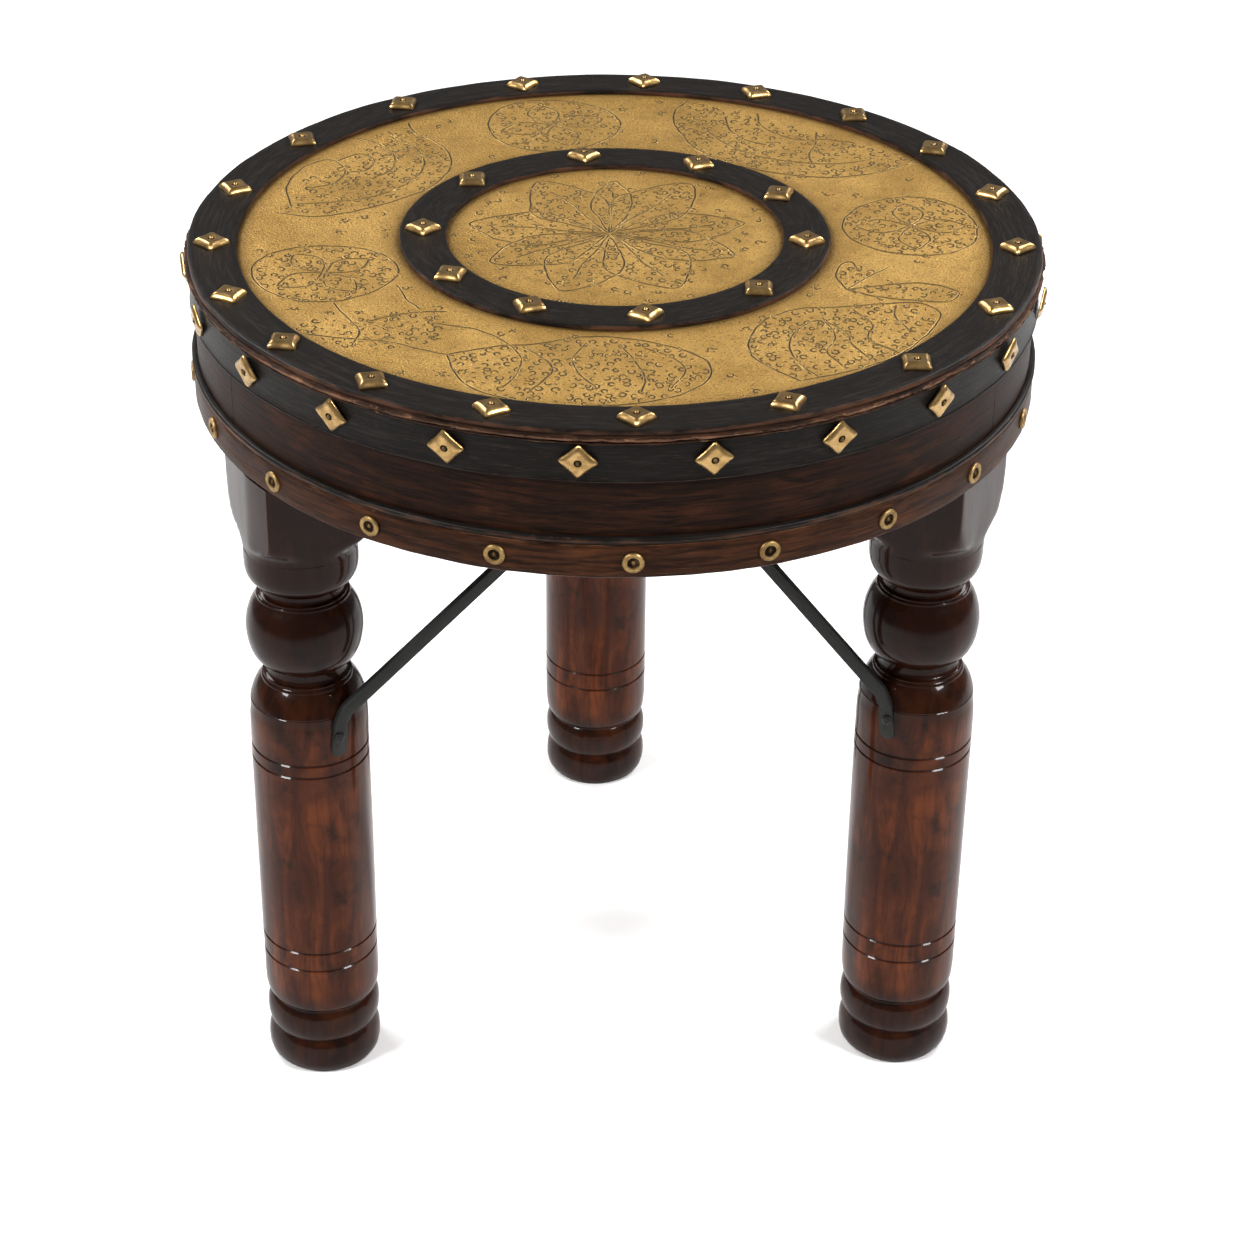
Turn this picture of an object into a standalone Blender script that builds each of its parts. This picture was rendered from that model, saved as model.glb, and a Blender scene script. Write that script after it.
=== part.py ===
"""Round drum-shaped side table clad in brass, on three turned legs with iron braces.

Metres, +Z up, floor at z = 0, table axis at x = y = 0.  Every named object below is one
separate piece of the table; neighbouring pieces stand apart by the clearance GAP.
"""

import math

import bmesh
import bpy
from mathutils import Matrix, Vector

# ---------------------------------------------------------------- overall sizes
TABLE_HEIGHT = 0.616        # floor to the top of the outer band
APRON_RADIUS = 0.2960       # outer face of the drum hoop
RIM_OVERHANG = 0.0055       # rim moulding beyond the hoop
BAND_SETBACK = 0.0020       # outer band in from the edge of the rim moulding
GAP = 0.0003                # clearance between neighbouring pieces
RING_SEGMENTS = 60          # facets round every ring

# ---------------------------------------------------------------- top surface
OUTER_BAND_WIDTH = 0.0350   # radial width of the outer band
INNER_RING_OUTER = 0.1516   # outer radius of the inner ring
INNER_RING_WIDTH = 0.0330
BAND_THICKNESS = 0.0030     # both top bands
BAND_ROUND = 0.0010         # worn edge on the bands
BRASS_THICKNESS = 0.0012    # sheet brass
BRASS_LAP = 0.0080          # how far the centre disc reaches under the inner ring
PLANK_THICKNESS = 0.0200    # boards under the brass
PLANK_JOINTS = (-0.41, 0.07, 0.56)   # board joints, as shares of the board radius

# ---------------------------------------------------------------- drum side
RIM_BOTTOM = 0.0092         # depths below the top of the outer band
STRAP_BOTTOM = 0.0370
BEAD_TOP = 0.0770
BEAD_BOTTOM = 0.0817
DRUM_DEPTH = 0.1065
APRON_THICKNESS = 0.0250
STRAP_THICKNESS = 0.0025
BEAD_THICKNESS = 0.0040
FOOT_BAND_THICKNESS = 0.0032
FOOT_BAND_CHAMFER = 0.0015
APRON_SEGMENTS = 3
HOOP_START = 90.0           # degrees; the joints of the hoop bear on the legs
BOTTOM_THICKNESS = 0.0220   # boards closing the drum from below
BOTTOM_JOINTS = (-0.34, 0.34)

# ---------------------------------------------------------------- studs
STUD_SIDE = 0.0190          # square cap, flat to flat
STUD_HEIGHT = 0.0043        # band surface to the flat of the cap
STUD_PIN = 0.0014           # pin standing on the cap
SHANK_RADIUS = 0.0014
SHANK_LENGTH = 0.0062
SHANK_CLEARANCE = 0.0003
OUTER_STUD_COUNT = 19
OUTER_STUD_START = 11.8     # degrees
OUTER_STUD_DRIFT = (3.1, 0.0, 1.1)    # degrees the hand-set studs wander from even spacing:
                            # twice round, and once round along X and Y
INNER_STUD_COUNT = 10
INNER_STUD_START = 30.1
INNER_STUD_DRIFT = (2.9, -2.6, 0.0)
DIAMOND_COUNT = 22
DIAMOND_START = 282.2
DIAMOND_SIDE = 0.0182
DIAMOND_HEIGHT = 0.0034
ROUND_COUNT = 21
ROUND_START = 272.6
ROUND_RADIUS = 0.0075
ROUND_HEIGHT = 0.0030

# ---------------------------------------------------------------- legs
LEG_INSET = 0.0433          # leg axes in from the outer face of the hoop
LEG_START = 92.1            # degrees, back leg
LEG_COUNT = 3
LEG_TURNS = (0.0, -10.0, 0.7)     # hand-fitted blocks are not all square to the axis
LEG_SEGMENTS = 24
BLOCK_HALF = 0.0402         # half side of the square block
BLOCK_EASE = 0.0012         # eased edges of the block
BLOCK_CORNER = 0.0370       # height over which its lower corners are turned away
SHAFT_RADIUS = 0.0424
BLOCK_HEIGHT = 0.0662       # square block under the drum
NECK_HEIGHT = 0.1470        # turned collar, ball and shoulder between block and shaft
TENON_RADIUS = 0.0140
TENON_LENGTH = 0.0210
TENON_CLEARANCE = 0.0003

# ---------------------------------------------------------------- iron braces
BRACE_WIDTH = 0.0098
BRACE_THICKNESS = 0.0050
BRACE_END_RADIUS = 0.0058   # rounded lower end, forged a little wider than the bar
BRACE_END_DROP = 0.0020     # centre of that end below the top of the shaft
BRACE_SCREW_RISE = 0.0100   # screw above the centre of that end
BRACE_BEND_RISE = 0.0246    # bend above the top of the shaft
BRACE_LIFTS = (0.0030, 0.0, 0.0070)      # hand-fitted braces do not all sit at one height
BRACE_SHIFTS = (0.0, 0.0035, -0.0045)    # or straight beside the leg axis
BRACE_SIDES = (1, 1, -1)    # which side of each leg carries the brace
BRACE_REACH = (0.03, -0.15, 0.12)   # upper end from the axis, as shares of BAND_RADIUS
PAD_LENGTH = 0.0300
PAD_WIDTH = 0.0170
PAD_THICKNESS = 0.0040
SCREW_RADIUS = 0.0019
SCREW_LENGTH = 0.0150
SCREW_CLEARANCE = 0.0003
SCREW_HEAD = 0.0040
SCREW_HEAD_HEIGHT = 0.0018

# ---------------------------------------------------------------- worked-out places
RIM_RADIUS = APRON_RADIUS + RIM_OVERHANG
BAND_RADIUS = RIM_RADIUS - BAND_SETBACK
INNER_RING_INNER = INNER_RING_OUTER - INNER_RING_WIDTH
BRASS_JOINT = INNER_RING_INNER + BRASS_LAP
OUTER_STUD_RADIUS = BAND_RADIUS - OUTER_BAND_WIDTH * 0.5
INNER_STUD_RADIUS = INNER_RING_INNER + INNER_RING_WIDTH * 0.5
LEG_CIRCLE = APRON_RADIUS - LEG_INSET
Z_TOP = TABLE_HEIGHT
Z_BAND_LOW = Z_TOP - BAND_THICKNESS
Z_BRASS_TOP = Z_BAND_LOW - GAP
Z_BRASS_LOW = Z_BRASS_TOP - BRASS_THICKNESS
Z_PLANK_TOP = Z_BRASS_LOW - GAP
Z_PLANK_LOW = Z_PLANK_TOP - PLANK_THICKNESS
Z_RIM_TOP = Z_BRASS_TOP
Z_RIM_LOW = Z_TOP - RIM_BOTTOM
Z_APRON_TOP = Z_RIM_LOW - GAP
Z_DRUM_LOW = Z_TOP - DRUM_DEPTH
Z_BLOCK_TOP = Z_DRUM_LOW - GAP
BLOCK_LOW = Z_BLOCK_TOP - BLOCK_HEIGHT
SHAFT_TOP = BLOCK_LOW - NECK_HEIGHT
DIAMOND_DEPTH = RIM_BOTTOM + GAP * 2.0 + DIAMOND_SIDE * math.sqrt(0.5)
ROUND_DEPTH = 0.5 * (BEAD_BOTTOM + GAP + DRUM_DEPTH)
APRON_INNER = APRON_RADIUS - APRON_THICKNESS
BOARD_RADIUS = APRON_INNER - GAP

MATERIALS = {
    "brass": ((0.46, 0.33, 0.13, 1.0), 0.9, 0.42),
    "ebonised_wood": ((0.030, 0.028, 0.028, 1.0), 0.0, 0.45),
    "walnut": ((0.070, 0.030, 0.018, 1.0), 0.0, 0.40),
    "raw_wood": ((0.200, 0.120, 0.070, 1.0), 0.0, 0.70),
    "iron": ((0.020, 0.020, 0.019, 1.0), 0.7, 0.60),
}


def make_material(name, colour, metallic, roughness):
    """Return a new material with one Principled shader."""
    mat = bpy.data.materials.new(name)
    mat.use_nodes = True
    shader = mat.node_tree.nodes["Principled BSDF"]
    shader.inputs["Base Color"].default_value = colour
    shader.inputs["Metallic"].default_value = metallic
    shader.inputs["Roughness"].default_value = roughness
    mat.diffuse_color = colour
    return mat


def add_object(name, bm, kind):
    """Turn a bmesh into a named object with its own material."""
    bmesh.ops.recalc_face_normals(bm, faces=bm.faces)
    mesh = bpy.data.meshes.new(name)
    bm.to_mesh(mesh)
    bm.free()
    obj = bpy.data.objects.new(name, mesh)
    bpy.context.scene.collection.objects.link(obj)
    colour, metallic, roughness = MATERIALS[kind]
    mesh.materials.append(make_material(name + "_" + kind, colour, metallic, roughness))
    return obj


def smooth(obj, angle=40.0):
    """Shade round surfaces smooth and keep the hard edges."""
    limit = math.radians(angle)
    bm = bmesh.new()
    bm.from_mesh(obj.data)
    for face in bm.faces:
        face.smooth = True
    for edge in bm.edges:
        if len(edge.link_faces) == 2:
            edge.smooth = edge.calc_face_angle() < limit
    bm.to_mesh(obj.data)
    bm.free()


def polar(radius, degrees, z=0.0):
    """Return the point at a radius and an angle round the table axis."""
    a = math.radians(degrees)
    return Vector((radius * math.cos(a), radius * math.sin(a), z))


def ring_mesh(profile, segments=RING_SEGMENTS, start=0.0, sweep=360.0, shrink=0.0):
    """Sweep a closed (radius, z) profile round the axis; part sweeps get end faces.

    shrink takes this distance off each end of a part sweep.
    """
    bm = bmesh.new()
    full = sweep >= 359.999
    count = segments if full else segments + 1
    rows = []
    for i in range(count):
        a = start + sweep * i / segments
        row = []
        for radius, z in profile:
            turn = 0.0
            if not full and i == 0:
                turn = math.degrees(shrink / radius)
            if not full and i == count - 1:
                turn = -math.degrees(shrink / radius)
            row.append(bm.verts.new(polar(radius, a + turn, z)))
        rows.append(row)
    n = len(profile)
    for i in range(count if full else count - 1):
        here = rows[i]
        there = rows[(i + 1) % count]
        for j in range(n):
            k = (j + 1) % n
            bm.faces.new((here[j], here[k], there[k], there[j]))
    if not full:
        bm.faces.new(rows[0])
        bm.faces.new(list(reversed(rows[-1])))
    return bm


def prism(points, low, high):
    """Return an upright prism over a flat outline of (x, y) points."""
    bm = bmesh.new()
    bottom = [bm.verts.new((x, y, low)) for x, y in points]
    top = [bm.verts.new((x, y, high)) for x, y in points]
    n = len(points)
    for i in range(n):
        k = (i + 1) % n
        bm.faces.new((bottom[i], bottom[k], top[k], top[i]))
    bm.faces.new(list(reversed(bottom)))
    bm.faces.new(top)
    return bm


def lathe(profile, segments=LEG_SEGMENTS):
    """Spin an open (radius, z) profile that starts and ends on the axis into a solid."""
    bm = bmesh.new()
    rows = []
    for radius, z in profile:
        if radius == 0.0:
            rows.append([bm.verts.new((0.0, 0.0, z))])
            continue
        rows.append([bm.verts.new(polar(radius, 360.0 * i / segments, z)) for i in range(segments)])
    for a, b in zip(rows, rows[1:]):
        for i in range(segments):
            k = (i + 1) % segments
            if len(a) == 1:
                bm.faces.new((a[0], b[k], b[i]))
            elif len(b) == 1:
                bm.faces.new((a[i], a[k], b[0]))
            else:
                bm.faces.new((a[i], a[k], b[k], b[i]))
    return bm


def square_stack(layers, base=None):
    """Stack square layers of (half side, z) into one closed cap, optional shank below.

    base is (radius, length) of a six-sided shank hanging from the first layer.
    """
    bm = bmesh.new()
    rows = []
    for half, z in layers:
        corners = ((half, half), (-half, half), (-half, -half), (half, -half))
        rows.append([bm.verts.new((x, y, z)) for x, y in corners])
    for a, b in zip(rows, rows[1:]):
        for i in range(4):
            k = (i + 1) % 4
            bm.faces.new((a[i], a[k], b[k], b[i]))
    bm.faces.new(rows[-1])
    if base is None:
        bm.faces.new(list(reversed(rows[0])))
        return bm
    radius, length = base
    z = layers[0][1]
    ring = [bm.verts.new(polar(radius, 45.0 + 90.0 * i, z)) for i in range(4)]
    tip = [bm.verts.new(polar(radius, 45.0 + 90.0 * i, z - length)) for i in range(4)]
    for i in range(4):
        k = (i + 1) % 4
        bm.faces.new((rows[0][k], rows[0][i], ring[i], ring[k]))
        bm.faces.new((ring[k], ring[i], tip[i], tip[k]))
    bm.faces.new(list(reversed(tip)))
    return bm


def boolean(obj, tool, operation):
    """Apply one exact Boolean to obj and remove the tool."""
    tool.display_type = "WIRE"
    tool.hide_render = True
    mod = obj.modifiers.new("cut", "BOOLEAN")
    mod.operation = operation
    mod.solver = "EXACT"
    mod.object = tool
    depsgraph = bpy.context.evaluated_depsgraph_get()
    depsgraph.update()
    result = bpy.data.meshes.new_from_object(obj.evaluated_get(depsgraph))
    obj.modifiers.clear()
    old = obj.data
    result.name = obj.name
    obj.data = result
    bpy.data.meshes.remove(old)
    bpy.data.objects.remove(tool, do_unlink=True)


def tool_object(bm):
    """Make a temporary object for a Boolean."""
    bmesh.ops.recalc_face_normals(bm, faces=bm.faces)
    mesh = bpy.data.meshes.new("tool")
    bm.to_mesh(mesh)
    bm.free()
    obj = bpy.data.objects.new("tool", mesh)
    bpy.context.scene.collection.objects.link(obj)
    return obj


def merge(target, part, matrix):
    """Copy a transformed bmesh into the target bmesh and free it."""
    part.transform(matrix)
    mesh = bpy.data.meshes.new("part")
    part.to_mesh(mesh)
    part.free()
    target.from_mesh(mesh)
    bpy.data.meshes.remove(mesh)


def rod(radius, low, high, segments=8):
    """Return an upright closed cylinder."""
    return lathe([(0.0, low), (radius, low), (radius, high), (0.0, high)], segments)


def stud_angles(count, start, drift):
    """Angles of hand-set studs: even steps with a slow wander."""
    twice, along_x, along_y = drift
    angles = []
    for i in range(count):
        even = start + 360.0 / count * i
        a = math.radians(even)
        angles.append(even + twice * math.cos(2.0 * a) + along_x * math.cos(a) + along_y * math.sin(a))
    return angles


OUTER_STUDS = stud_angles(OUTER_STUD_COUNT, OUTER_STUD_START, OUTER_STUD_DRIFT)
INNER_STUDS = stud_angles(INNER_STUD_COUNT, INNER_STUD_START, INNER_STUD_DRIFT)


def shank_holes(angles, radius, top, low):
    """Cutter with one square hole for every stud shank on a circle."""
    bm = bmesh.new()
    size = SHANK_RADIUS + SHANK_CLEARANCE * math.sqrt(2.0)
    for a in angles:
        part = bmesh.new()
        corners = [polar(size, 45.0 + 90.0 * i) for i in range(4)]
        part.free()
        part = prism([(c.x, c.y) for c in corners], low, top)
        turn = Matrix.Translation(polar(radius, a)) @ Matrix.Rotation(math.radians(a + 45.0), 4, "Z")
        merge(bm, part, turn)
    return tool_object(bm)


def circle_outline(radius, segments=RING_SEGMENTS):
    """Points of the facetted circle shared by all the concentric pieces."""
    return [polar(radius, 360.0 * i / segments) for i in range(segments)]


def board_outline(radius, low_y, high_y):
    """Outline of the part of a facetted disc between two joint lines."""
    points = [(p.x, p.y) for p in circle_outline(radius)]

    def clip(outline, limit, keep_above):
        kept = []
        n = len(outline)
        for i in range(n):
            a = outline[i]
            b = outline[(i + 1) % n]
            in_a = (a[1] > limit) == keep_above
            in_b = (b[1] > limit) == keep_above
            if in_a:
                kept.append(a)
            if in_a != in_b:
                t = (limit - a[1]) / (b[1] - a[1])
                kept.append((a[0] + t * (b[0] - a[0]), limit))
        return kept

    if low_y is not None:
        points = clip(points, low_y, True)
    if high_y is not None:
        points = clip(points, high_y, False)
    return points


def make_boards(prefix, radius, joints, low, high):
    """Make the boards of one layer with a clearance at every joint."""
    limits = [None] + [radius * j for j in joints] + [None]
    boards = []
    for i in range(len(limits) - 1):
        y0 = None if limits[i] is None else limits[i] + GAP * 0.5
        y1 = None if limits[i + 1] is None else limits[i + 1] - GAP * 0.5
        bm = prism(board_outline(radius, y0, y1), low, high)
        boards.append(add_object(prefix + "_" + str(i + 1), bm, "raw_wood"))
    return boards


def make_top():
    """Boards, sheet brass and the two bands of the table top."""
    planks = make_boards("top_board", BOARD_RADIUS, PLANK_JOINTS, Z_PLANK_LOW, Z_PLANK_TOP)
    hole_low = Z_TOP - SHANK_LENGTH - GAP
    for plank in planks:
        boolean(plank, shank_holes(INNER_STUDS, INNER_STUD_RADIUS, Z_TOP + GAP, hole_low), "DIFFERENCE")

    sheet = [(BRASS_JOINT + GAP, Z_BRASS_LOW), (BOARD_RADIUS, Z_BRASS_LOW)]
    sheet += [(BOARD_RADIUS, Z_BRASS_TOP), (BRASS_JOINT + GAP, Z_BRASS_TOP)]
    annulus = add_object("brass_ring_sheet", ring_mesh(sheet), "brass")
    holes = shank_holes(INNER_STUDS, INNER_STUD_RADIUS, Z_TOP + GAP, hole_low)
    boolean(annulus, holes, "DIFFERENCE")

    outline = [(p.x, p.y) for p in circle_outline(BRASS_JOINT)]
    add_object("brass_centre_disc", prism(outline, Z_BRASS_LOW, Z_BRASS_TOP), "brass")

    for name, inner, outer, angles, radius in (
        ("outer_top_band", BAND_RADIUS - OUTER_BAND_WIDTH, BAND_RADIUS, OUTER_STUDS, OUTER_STUD_RADIUS),
        ("inner_top_ring", INNER_RING_INNER, INNER_RING_OUTER, INNER_STUDS, INNER_STUD_RADIUS),
    ):
        profile = [(inner, Z_BAND_LOW), (outer, Z_BAND_LOW)]
        profile += [(outer, Z_TOP - BAND_ROUND), (outer - BAND_ROUND, Z_TOP)]
        profile += [(inner + BAND_ROUND, Z_TOP), (inner, Z_TOP - BAND_ROUND)]
        band = add_object(name, ring_mesh(profile), "ebonised_wood")
        boolean(band, shank_holes(angles, radius, Z_TOP + GAP, hole_low), "DIFFERENCE")
        smooth(band)


def make_drum():
    """Rim moulding, hoop, strap, bead, lower band and the boards closing the drum."""
    height = Z_RIM_TOP - Z_RIM_LOW
    rim = [(APRON_INNER, Z_RIM_LOW), (RIM_RADIUS - 0.0015, Z_RIM_LOW)]
    rim += [(RIM_RADIUS, Z_RIM_LOW + 0.22 * height), (RIM_RADIUS - 0.0010, Z_RIM_LOW + 0.48 * height)]
    rim += [(RIM_RADIUS - 0.0022, Z_RIM_LOW + 0.55 * height)]
    rim += [(RIM_RADIUS - 0.0008, Z_RIM_LOW + 0.78 * height), (RIM_RADIUS - 0.0018, Z_RIM_TOP)]
    rim += [(APRON_INNER, Z_RIM_TOP)]
    moulding = add_object("rim_moulding", ring_mesh(rim), "walnut")
    hole_low = Z_TOP - SHANK_LENGTH - GAP
    boolean(moulding, shank_holes(OUTER_STUDS, OUTER_STUD_RADIUS, Z_TOP + GAP, hole_low), "DIFFERENCE")
    smooth(moulding)

    hoop = [(APRON_INNER, Z_DRUM_LOW), (APRON_RADIUS, Z_DRUM_LOW)]
    hoop += [(APRON_RADIUS, Z_APRON_TOP), (APRON_INNER, Z_APRON_TOP)]
    sweep = 360.0 / APRON_SEGMENTS
    for i in range(APRON_SEGMENTS):
        start = HOOP_START + i * sweep
        bm = ring_mesh(hoop, RING_SEGMENTS // APRON_SEGMENTS, start, sweep, GAP * 0.5)
        smooth(add_object("hoop_segment_" + str(i + 1), bm, "walnut"))

    inner = APRON_RADIUS + GAP
    outer = inner + STRAP_THICKNESS
    low = Z_TOP - STRAP_BOTTOM
    strap = [(inner, low), (outer, low), (outer, Z_APRON_TOP), (inner, Z_APRON_TOP)]
    side = add_object("side_strap", ring_mesh(strap), "ebonised_wood")
    boolean(side, side_studs(DIAMOND_COUNT, DIAMOND_START, outer, Z_TOP - DIAMOND_DEPTH, diamond_cap), "UNION")
    smooth(side)

    low = Z_TOP - BEAD_BOTTOM
    high = Z_TOP - BEAD_TOP
    outer = inner + BEAD_THICKNESS
    bead = [(inner, low), (outer - 0.0010, low), (outer, 0.5 * (low + high)), (outer - 0.0010, high), (inner, high)]
    smooth(add_object("drum_bead", ring_mesh(bead), "ebonised_wood"))

    outer = inner + FOOT_BAND_THICKNESS
    top = Z_TOP - BEAD_BOTTOM - GAP
    band = [(inner, Z_DRUM_LOW), (outer - FOOT_BAND_CHAMFER, Z_DRUM_LOW)]
    band += [(outer, Z_DRUM_LOW + FOOT_BAND_CHAMFER), (outer, top), (inner, top)]
    lower = add_object("lower_band", ring_mesh(band), "walnut")
    boolean(lower, side_studs(ROUND_COUNT, ROUND_START, outer, Z_TOP - ROUND_DEPTH, round_cap), "UNION")
    smooth(lower)

    boards = make_boards("bottom_board", BOARD_RADIUS, BOTTOM_JOINTS, Z_DRUM_LOW, Z_DRUM_LOW + BOTTOM_THICKNESS)
    bm = bmesh.new()
    for i in range(LEG_COUNT):
        place = Matrix.Translation(polar(LEG_CIRCLE, leg_angle(i)))
        hole = rod(TENON_RADIUS + TENON_CLEARANCE * 1.2, Z_DRUM_LOW - GAP, Z_DRUM_LOW + BOTTOM_THICKNESS + GAP, 16)
        merge(bm, hole, place)
        hole = rod(SCREW_RADIUS + SCREW_CLEARANCE * 1.3, Z_DRUM_LOW - GAP, Z_DRUM_LOW + SCREW_LENGTH)
        merge(bm, hole, Matrix.Translation(pad_centre(i)))
    holes = tool_object(bm)
    for board in boards:
        copy = bpy.data.objects.new("tool", holes.data.copy())
        bpy.context.scene.collection.objects.link(copy)
        boolean(board, copy, "DIFFERENCE")
    bpy.data.objects.remove(holes, do_unlink=True)


def diamond_cap():
    """Square stud standing on one corner, facing +X, with a shallow dish and pin."""
    half = DIAMOND_SIDE * 0.5
    sink = -STRAP_THICKNESS * 0.5
    bm = square_stack([
        (half, sink),
        (half, 0.0010),
        (half * 0.66, DIAMOND_HEIGHT),
        (half * 0.30, DIAMOND_HEIGHT - 0.0008),
        (half * 0.18, DIAMOND_HEIGHT + 0.0004),
    ])
    bm.transform(Matrix.Rotation(math.radians(45.0), 4, "Z"))
    return bm


def round_cap():
    """Round stud facing +X with a raised rim and a dished middle."""
    sink = -FOOT_BAND_THICKNESS * 0.5
    return lathe([
        (0.0, sink),
        (ROUND_RADIUS, sink),
        (ROUND_RADIUS, ROUND_HEIGHT * 0.40),
        (ROUND_RADIUS * 0.80, ROUND_HEIGHT),
        (ROUND_RADIUS * 0.45, ROUND_HEIGHT * 0.40),
        (0.0, ROUND_HEIGHT * 0.60),
    ], 8)


def side_studs(count, start, radius, z, cap):
    """All the studs of one strap as a single tool, each pointing outward."""
    bm = bmesh.new()
    flat = radius * math.cos(math.pi / RING_SEGMENTS)
    for i in range(count):
        a = start + 360.0 * i / count
        upright = Matrix.Rotation(math.radians(90.0), 4, "Y")
        turn = Matrix.Rotation(math.radians(a), 4, "Z")
        merge(bm, cap(), Matrix.Translation(polar(flat, a, z)) @ turn @ upright)
    return tool_object(bm)


def make_top_studs():
    """Square brass nails of the two top bands, one diagonal pointing at the axis."""
    half = STUD_SIDE * 0.5
    layers = [(half * 0.96, GAP), (half, 0.0010), (half * 0.94, 0.0018)]
    layers += [(half * 0.62, STUD_HEIGHT), (half * 0.18, STUD_HEIGHT - 0.0003)]
    layers += [(half * 0.12, STUD_HEIGHT + STUD_PIN)]
    for prefix, angles, radius in (
        ("outer_stud", OUTER_STUDS, OUTER_STUD_RADIUS),
        ("inner_stud", INNER_STUDS, INNER_STUD_RADIUS),
    ):
        for i, a in enumerate(angles):
            bm = square_stack(layers, (SHANK_RADIUS, SHANK_LENGTH))
            turn = Matrix.Rotation(math.radians(a + 45.0), 4, "Z")
            bm.transform(Matrix.Translation(polar(radius, a, Z_TOP)) @ turn)
            add_object("%s_%02d" % (prefix, i + 1), bm, "brass")


def leg_angle(i):
    """Angle of leg i round the table axis, in degrees."""
    return LEG_START + 360.0 * i / LEG_COUNT


def leg_profile():
    """(radius, height) of the turned part of a leg, floor to block."""
    s = SHAFT_RADIUS
    n = NECK_HEIGHT
    b = BLOCK_HALF * 0.995
    return [
        (0.0, 0.0),
        (s * 0.86, 0.0),
        (s * 0.965, 0.0060),
        (s * 0.985, 0.0150),
        (s * 0.955, 0.0240),
        (s * 0.905, 0.0285),
        (s * 0.960, 0.0330),
        (s * 0.985, 0.0420),
        (s * 0.955, 0.0510),
        (s * 0.900, 0.0560),
        (s * 0.930, 0.0580),
        (s * 0.985, 0.0660),
        (s, 0.0760),
        (s, SHAFT_TOP),
        (s * 0.976, SHAFT_TOP + n * 0.102),
        (s * 0.929, SHAFT_TOP + n * 0.190),
        (s * 0.861, SHAFT_TOP + n * 0.248),
        (s * 0.778, SHAFT_TOP + n * 0.286),
        (s * 0.680, SHAFT_TOP + n * 0.299),
        (s * 0.670, SHAFT_TOP + n * 0.361),
        (s * 0.802, SHAFT_TOP + n * 0.381),
        (s * 0.920, SHAFT_TOP + n * 0.442),
        (s * 0.979, SHAFT_TOP + n * 0.524),
        (s * 0.979, SHAFT_TOP + n * 0.578),
        (s * 0.929, SHAFT_TOP + n * 0.646),
        (s * 0.863, SHAFT_TOP + n * 0.694),
        (s * 0.778, SHAFT_TOP + n * 0.735),
        (s * 0.680, SHAFT_TOP + n * 0.748),
        (s * 0.675, SHAFT_TOP + n * 0.786),
        (s * 0.811, SHAFT_TOP + n * 0.818),
        (s * 0.915, SHAFT_TOP + n * 0.868),
        (b, SHAFT_TOP + n * 0.912),
        (b, BLOCK_LOW),
        (b * 0.990, BLOCK_LOW + 0.0005),
        (b * 0.990, BLOCK_LOW + 0.0200),
        (0.0, BLOCK_LOW + 0.0200),
    ]


def block_cut():
    """(radius, height) of the turning cut that rounds the lower corners of a block."""
    b = BLOCK_HALF
    c = BLOCK_CORNER
    return [
        (0.0, BLOCK_LOW - 0.0040),
        (b * 0.975, BLOCK_LOW - 0.0040),
        (b * 1.003, BLOCK_LOW + c * 0.08),
        (b * 1.045, BLOCK_LOW + c * 0.19),
        (b * 1.120, BLOCK_LOW + c * 0.27),
        (b * 1.245, BLOCK_LOW + c * 0.34),
        (b * 1.320, BLOCK_LOW + c * 0.57),
        (b * 1.395, BLOCK_LOW + c * 0.86),
        (b * 1.450, BLOCK_LOW + c),
        (b * 1.450, Z_BLOCK_TOP + 0.0010),
        (0.0, Z_BLOCK_TOP + 0.0010),
    ]


def make_leg(i):
    """One turned leg with its square block, tenon and screw hole."""
    name = "leg_" + str(i + 1)
    leg = add_object(name, lathe(leg_profile()), "walnut")
    b = BLOCK_HALF
    e = BLOCK_EASE
    square = [(b, b - e), (b - e, b), (e - b, b), (-b, b - e), (-b, e - b), (e - b, -b), (b - e, -b), (b, e - b)]
    block = prism(square, BLOCK_LOW - 0.0050, Z_BLOCK_TOP)
    block.transform(Matrix.Rotation(math.radians(LEG_TURNS[i]), 4, "Z"))
    block = tool_object(block)
    boolean(block, tool_object(lathe(block_cut())), "INTERSECT")
    boolean(leg, block, "UNION")
    boolean(leg, tool_object(rod(TENON_RADIUS, Z_BLOCK_TOP - 0.010, Z_BLOCK_TOP + TENON_LENGTH, 16)), "UNION")

    hole = rod(SCREW_RADIUS + SCREW_CLEARANCE * 1.3, 0.0, SCREW_LENGTH + GAP)
    hole.transform(Matrix.Rotation(math.radians(-90.0), 4, "X"))
    at = brace_foot(i) + Vector((-LEG_CIRCLE, BRACE_SCREW_RISE))
    hole.transform(Matrix.Translation((at.x, SHAFT_RADIUS - SCREW_LENGTH + BRACE_THICKNESS - GAP, at.y)))
    if BRACE_SIDES[i] < 0:
        hole.transform(Matrix.Scale(-1.0, 4, (0.0, 1.0, 0.0)))
    boolean(leg, tool_object(hole), "DIFFERENCE")
    leg.data.transform(leg_matrix(i))
    smooth(leg, 35.0)


def leg_matrix(i):
    """Place a leg built on the axis: its own +X points away from the table axis."""
    return Matrix.Translation(polar(LEG_CIRCLE, leg_angle(i))) @ Matrix.Rotation(math.radians(leg_angle(i)), 4, "Z")


def brace_inner():
    """Distance from a leg axis to the near face of its brace."""
    return SHAFT_RADIUS + GAP


def pad_centre(i):
    """Point under the drum where the upper screw of brace i goes in."""
    across = BRACE_SIDES[i] * (brace_inner() + BRACE_THICKNESS * 0.5)
    along = BRACE_REACH[i] * BAND_RADIUS - PAD_LENGTH * 0.60
    turn = Matrix.Rotation(math.radians(leg_angle(i)), 4, "Z")
    return turn @ Vector((along, across, 0.0))


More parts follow.
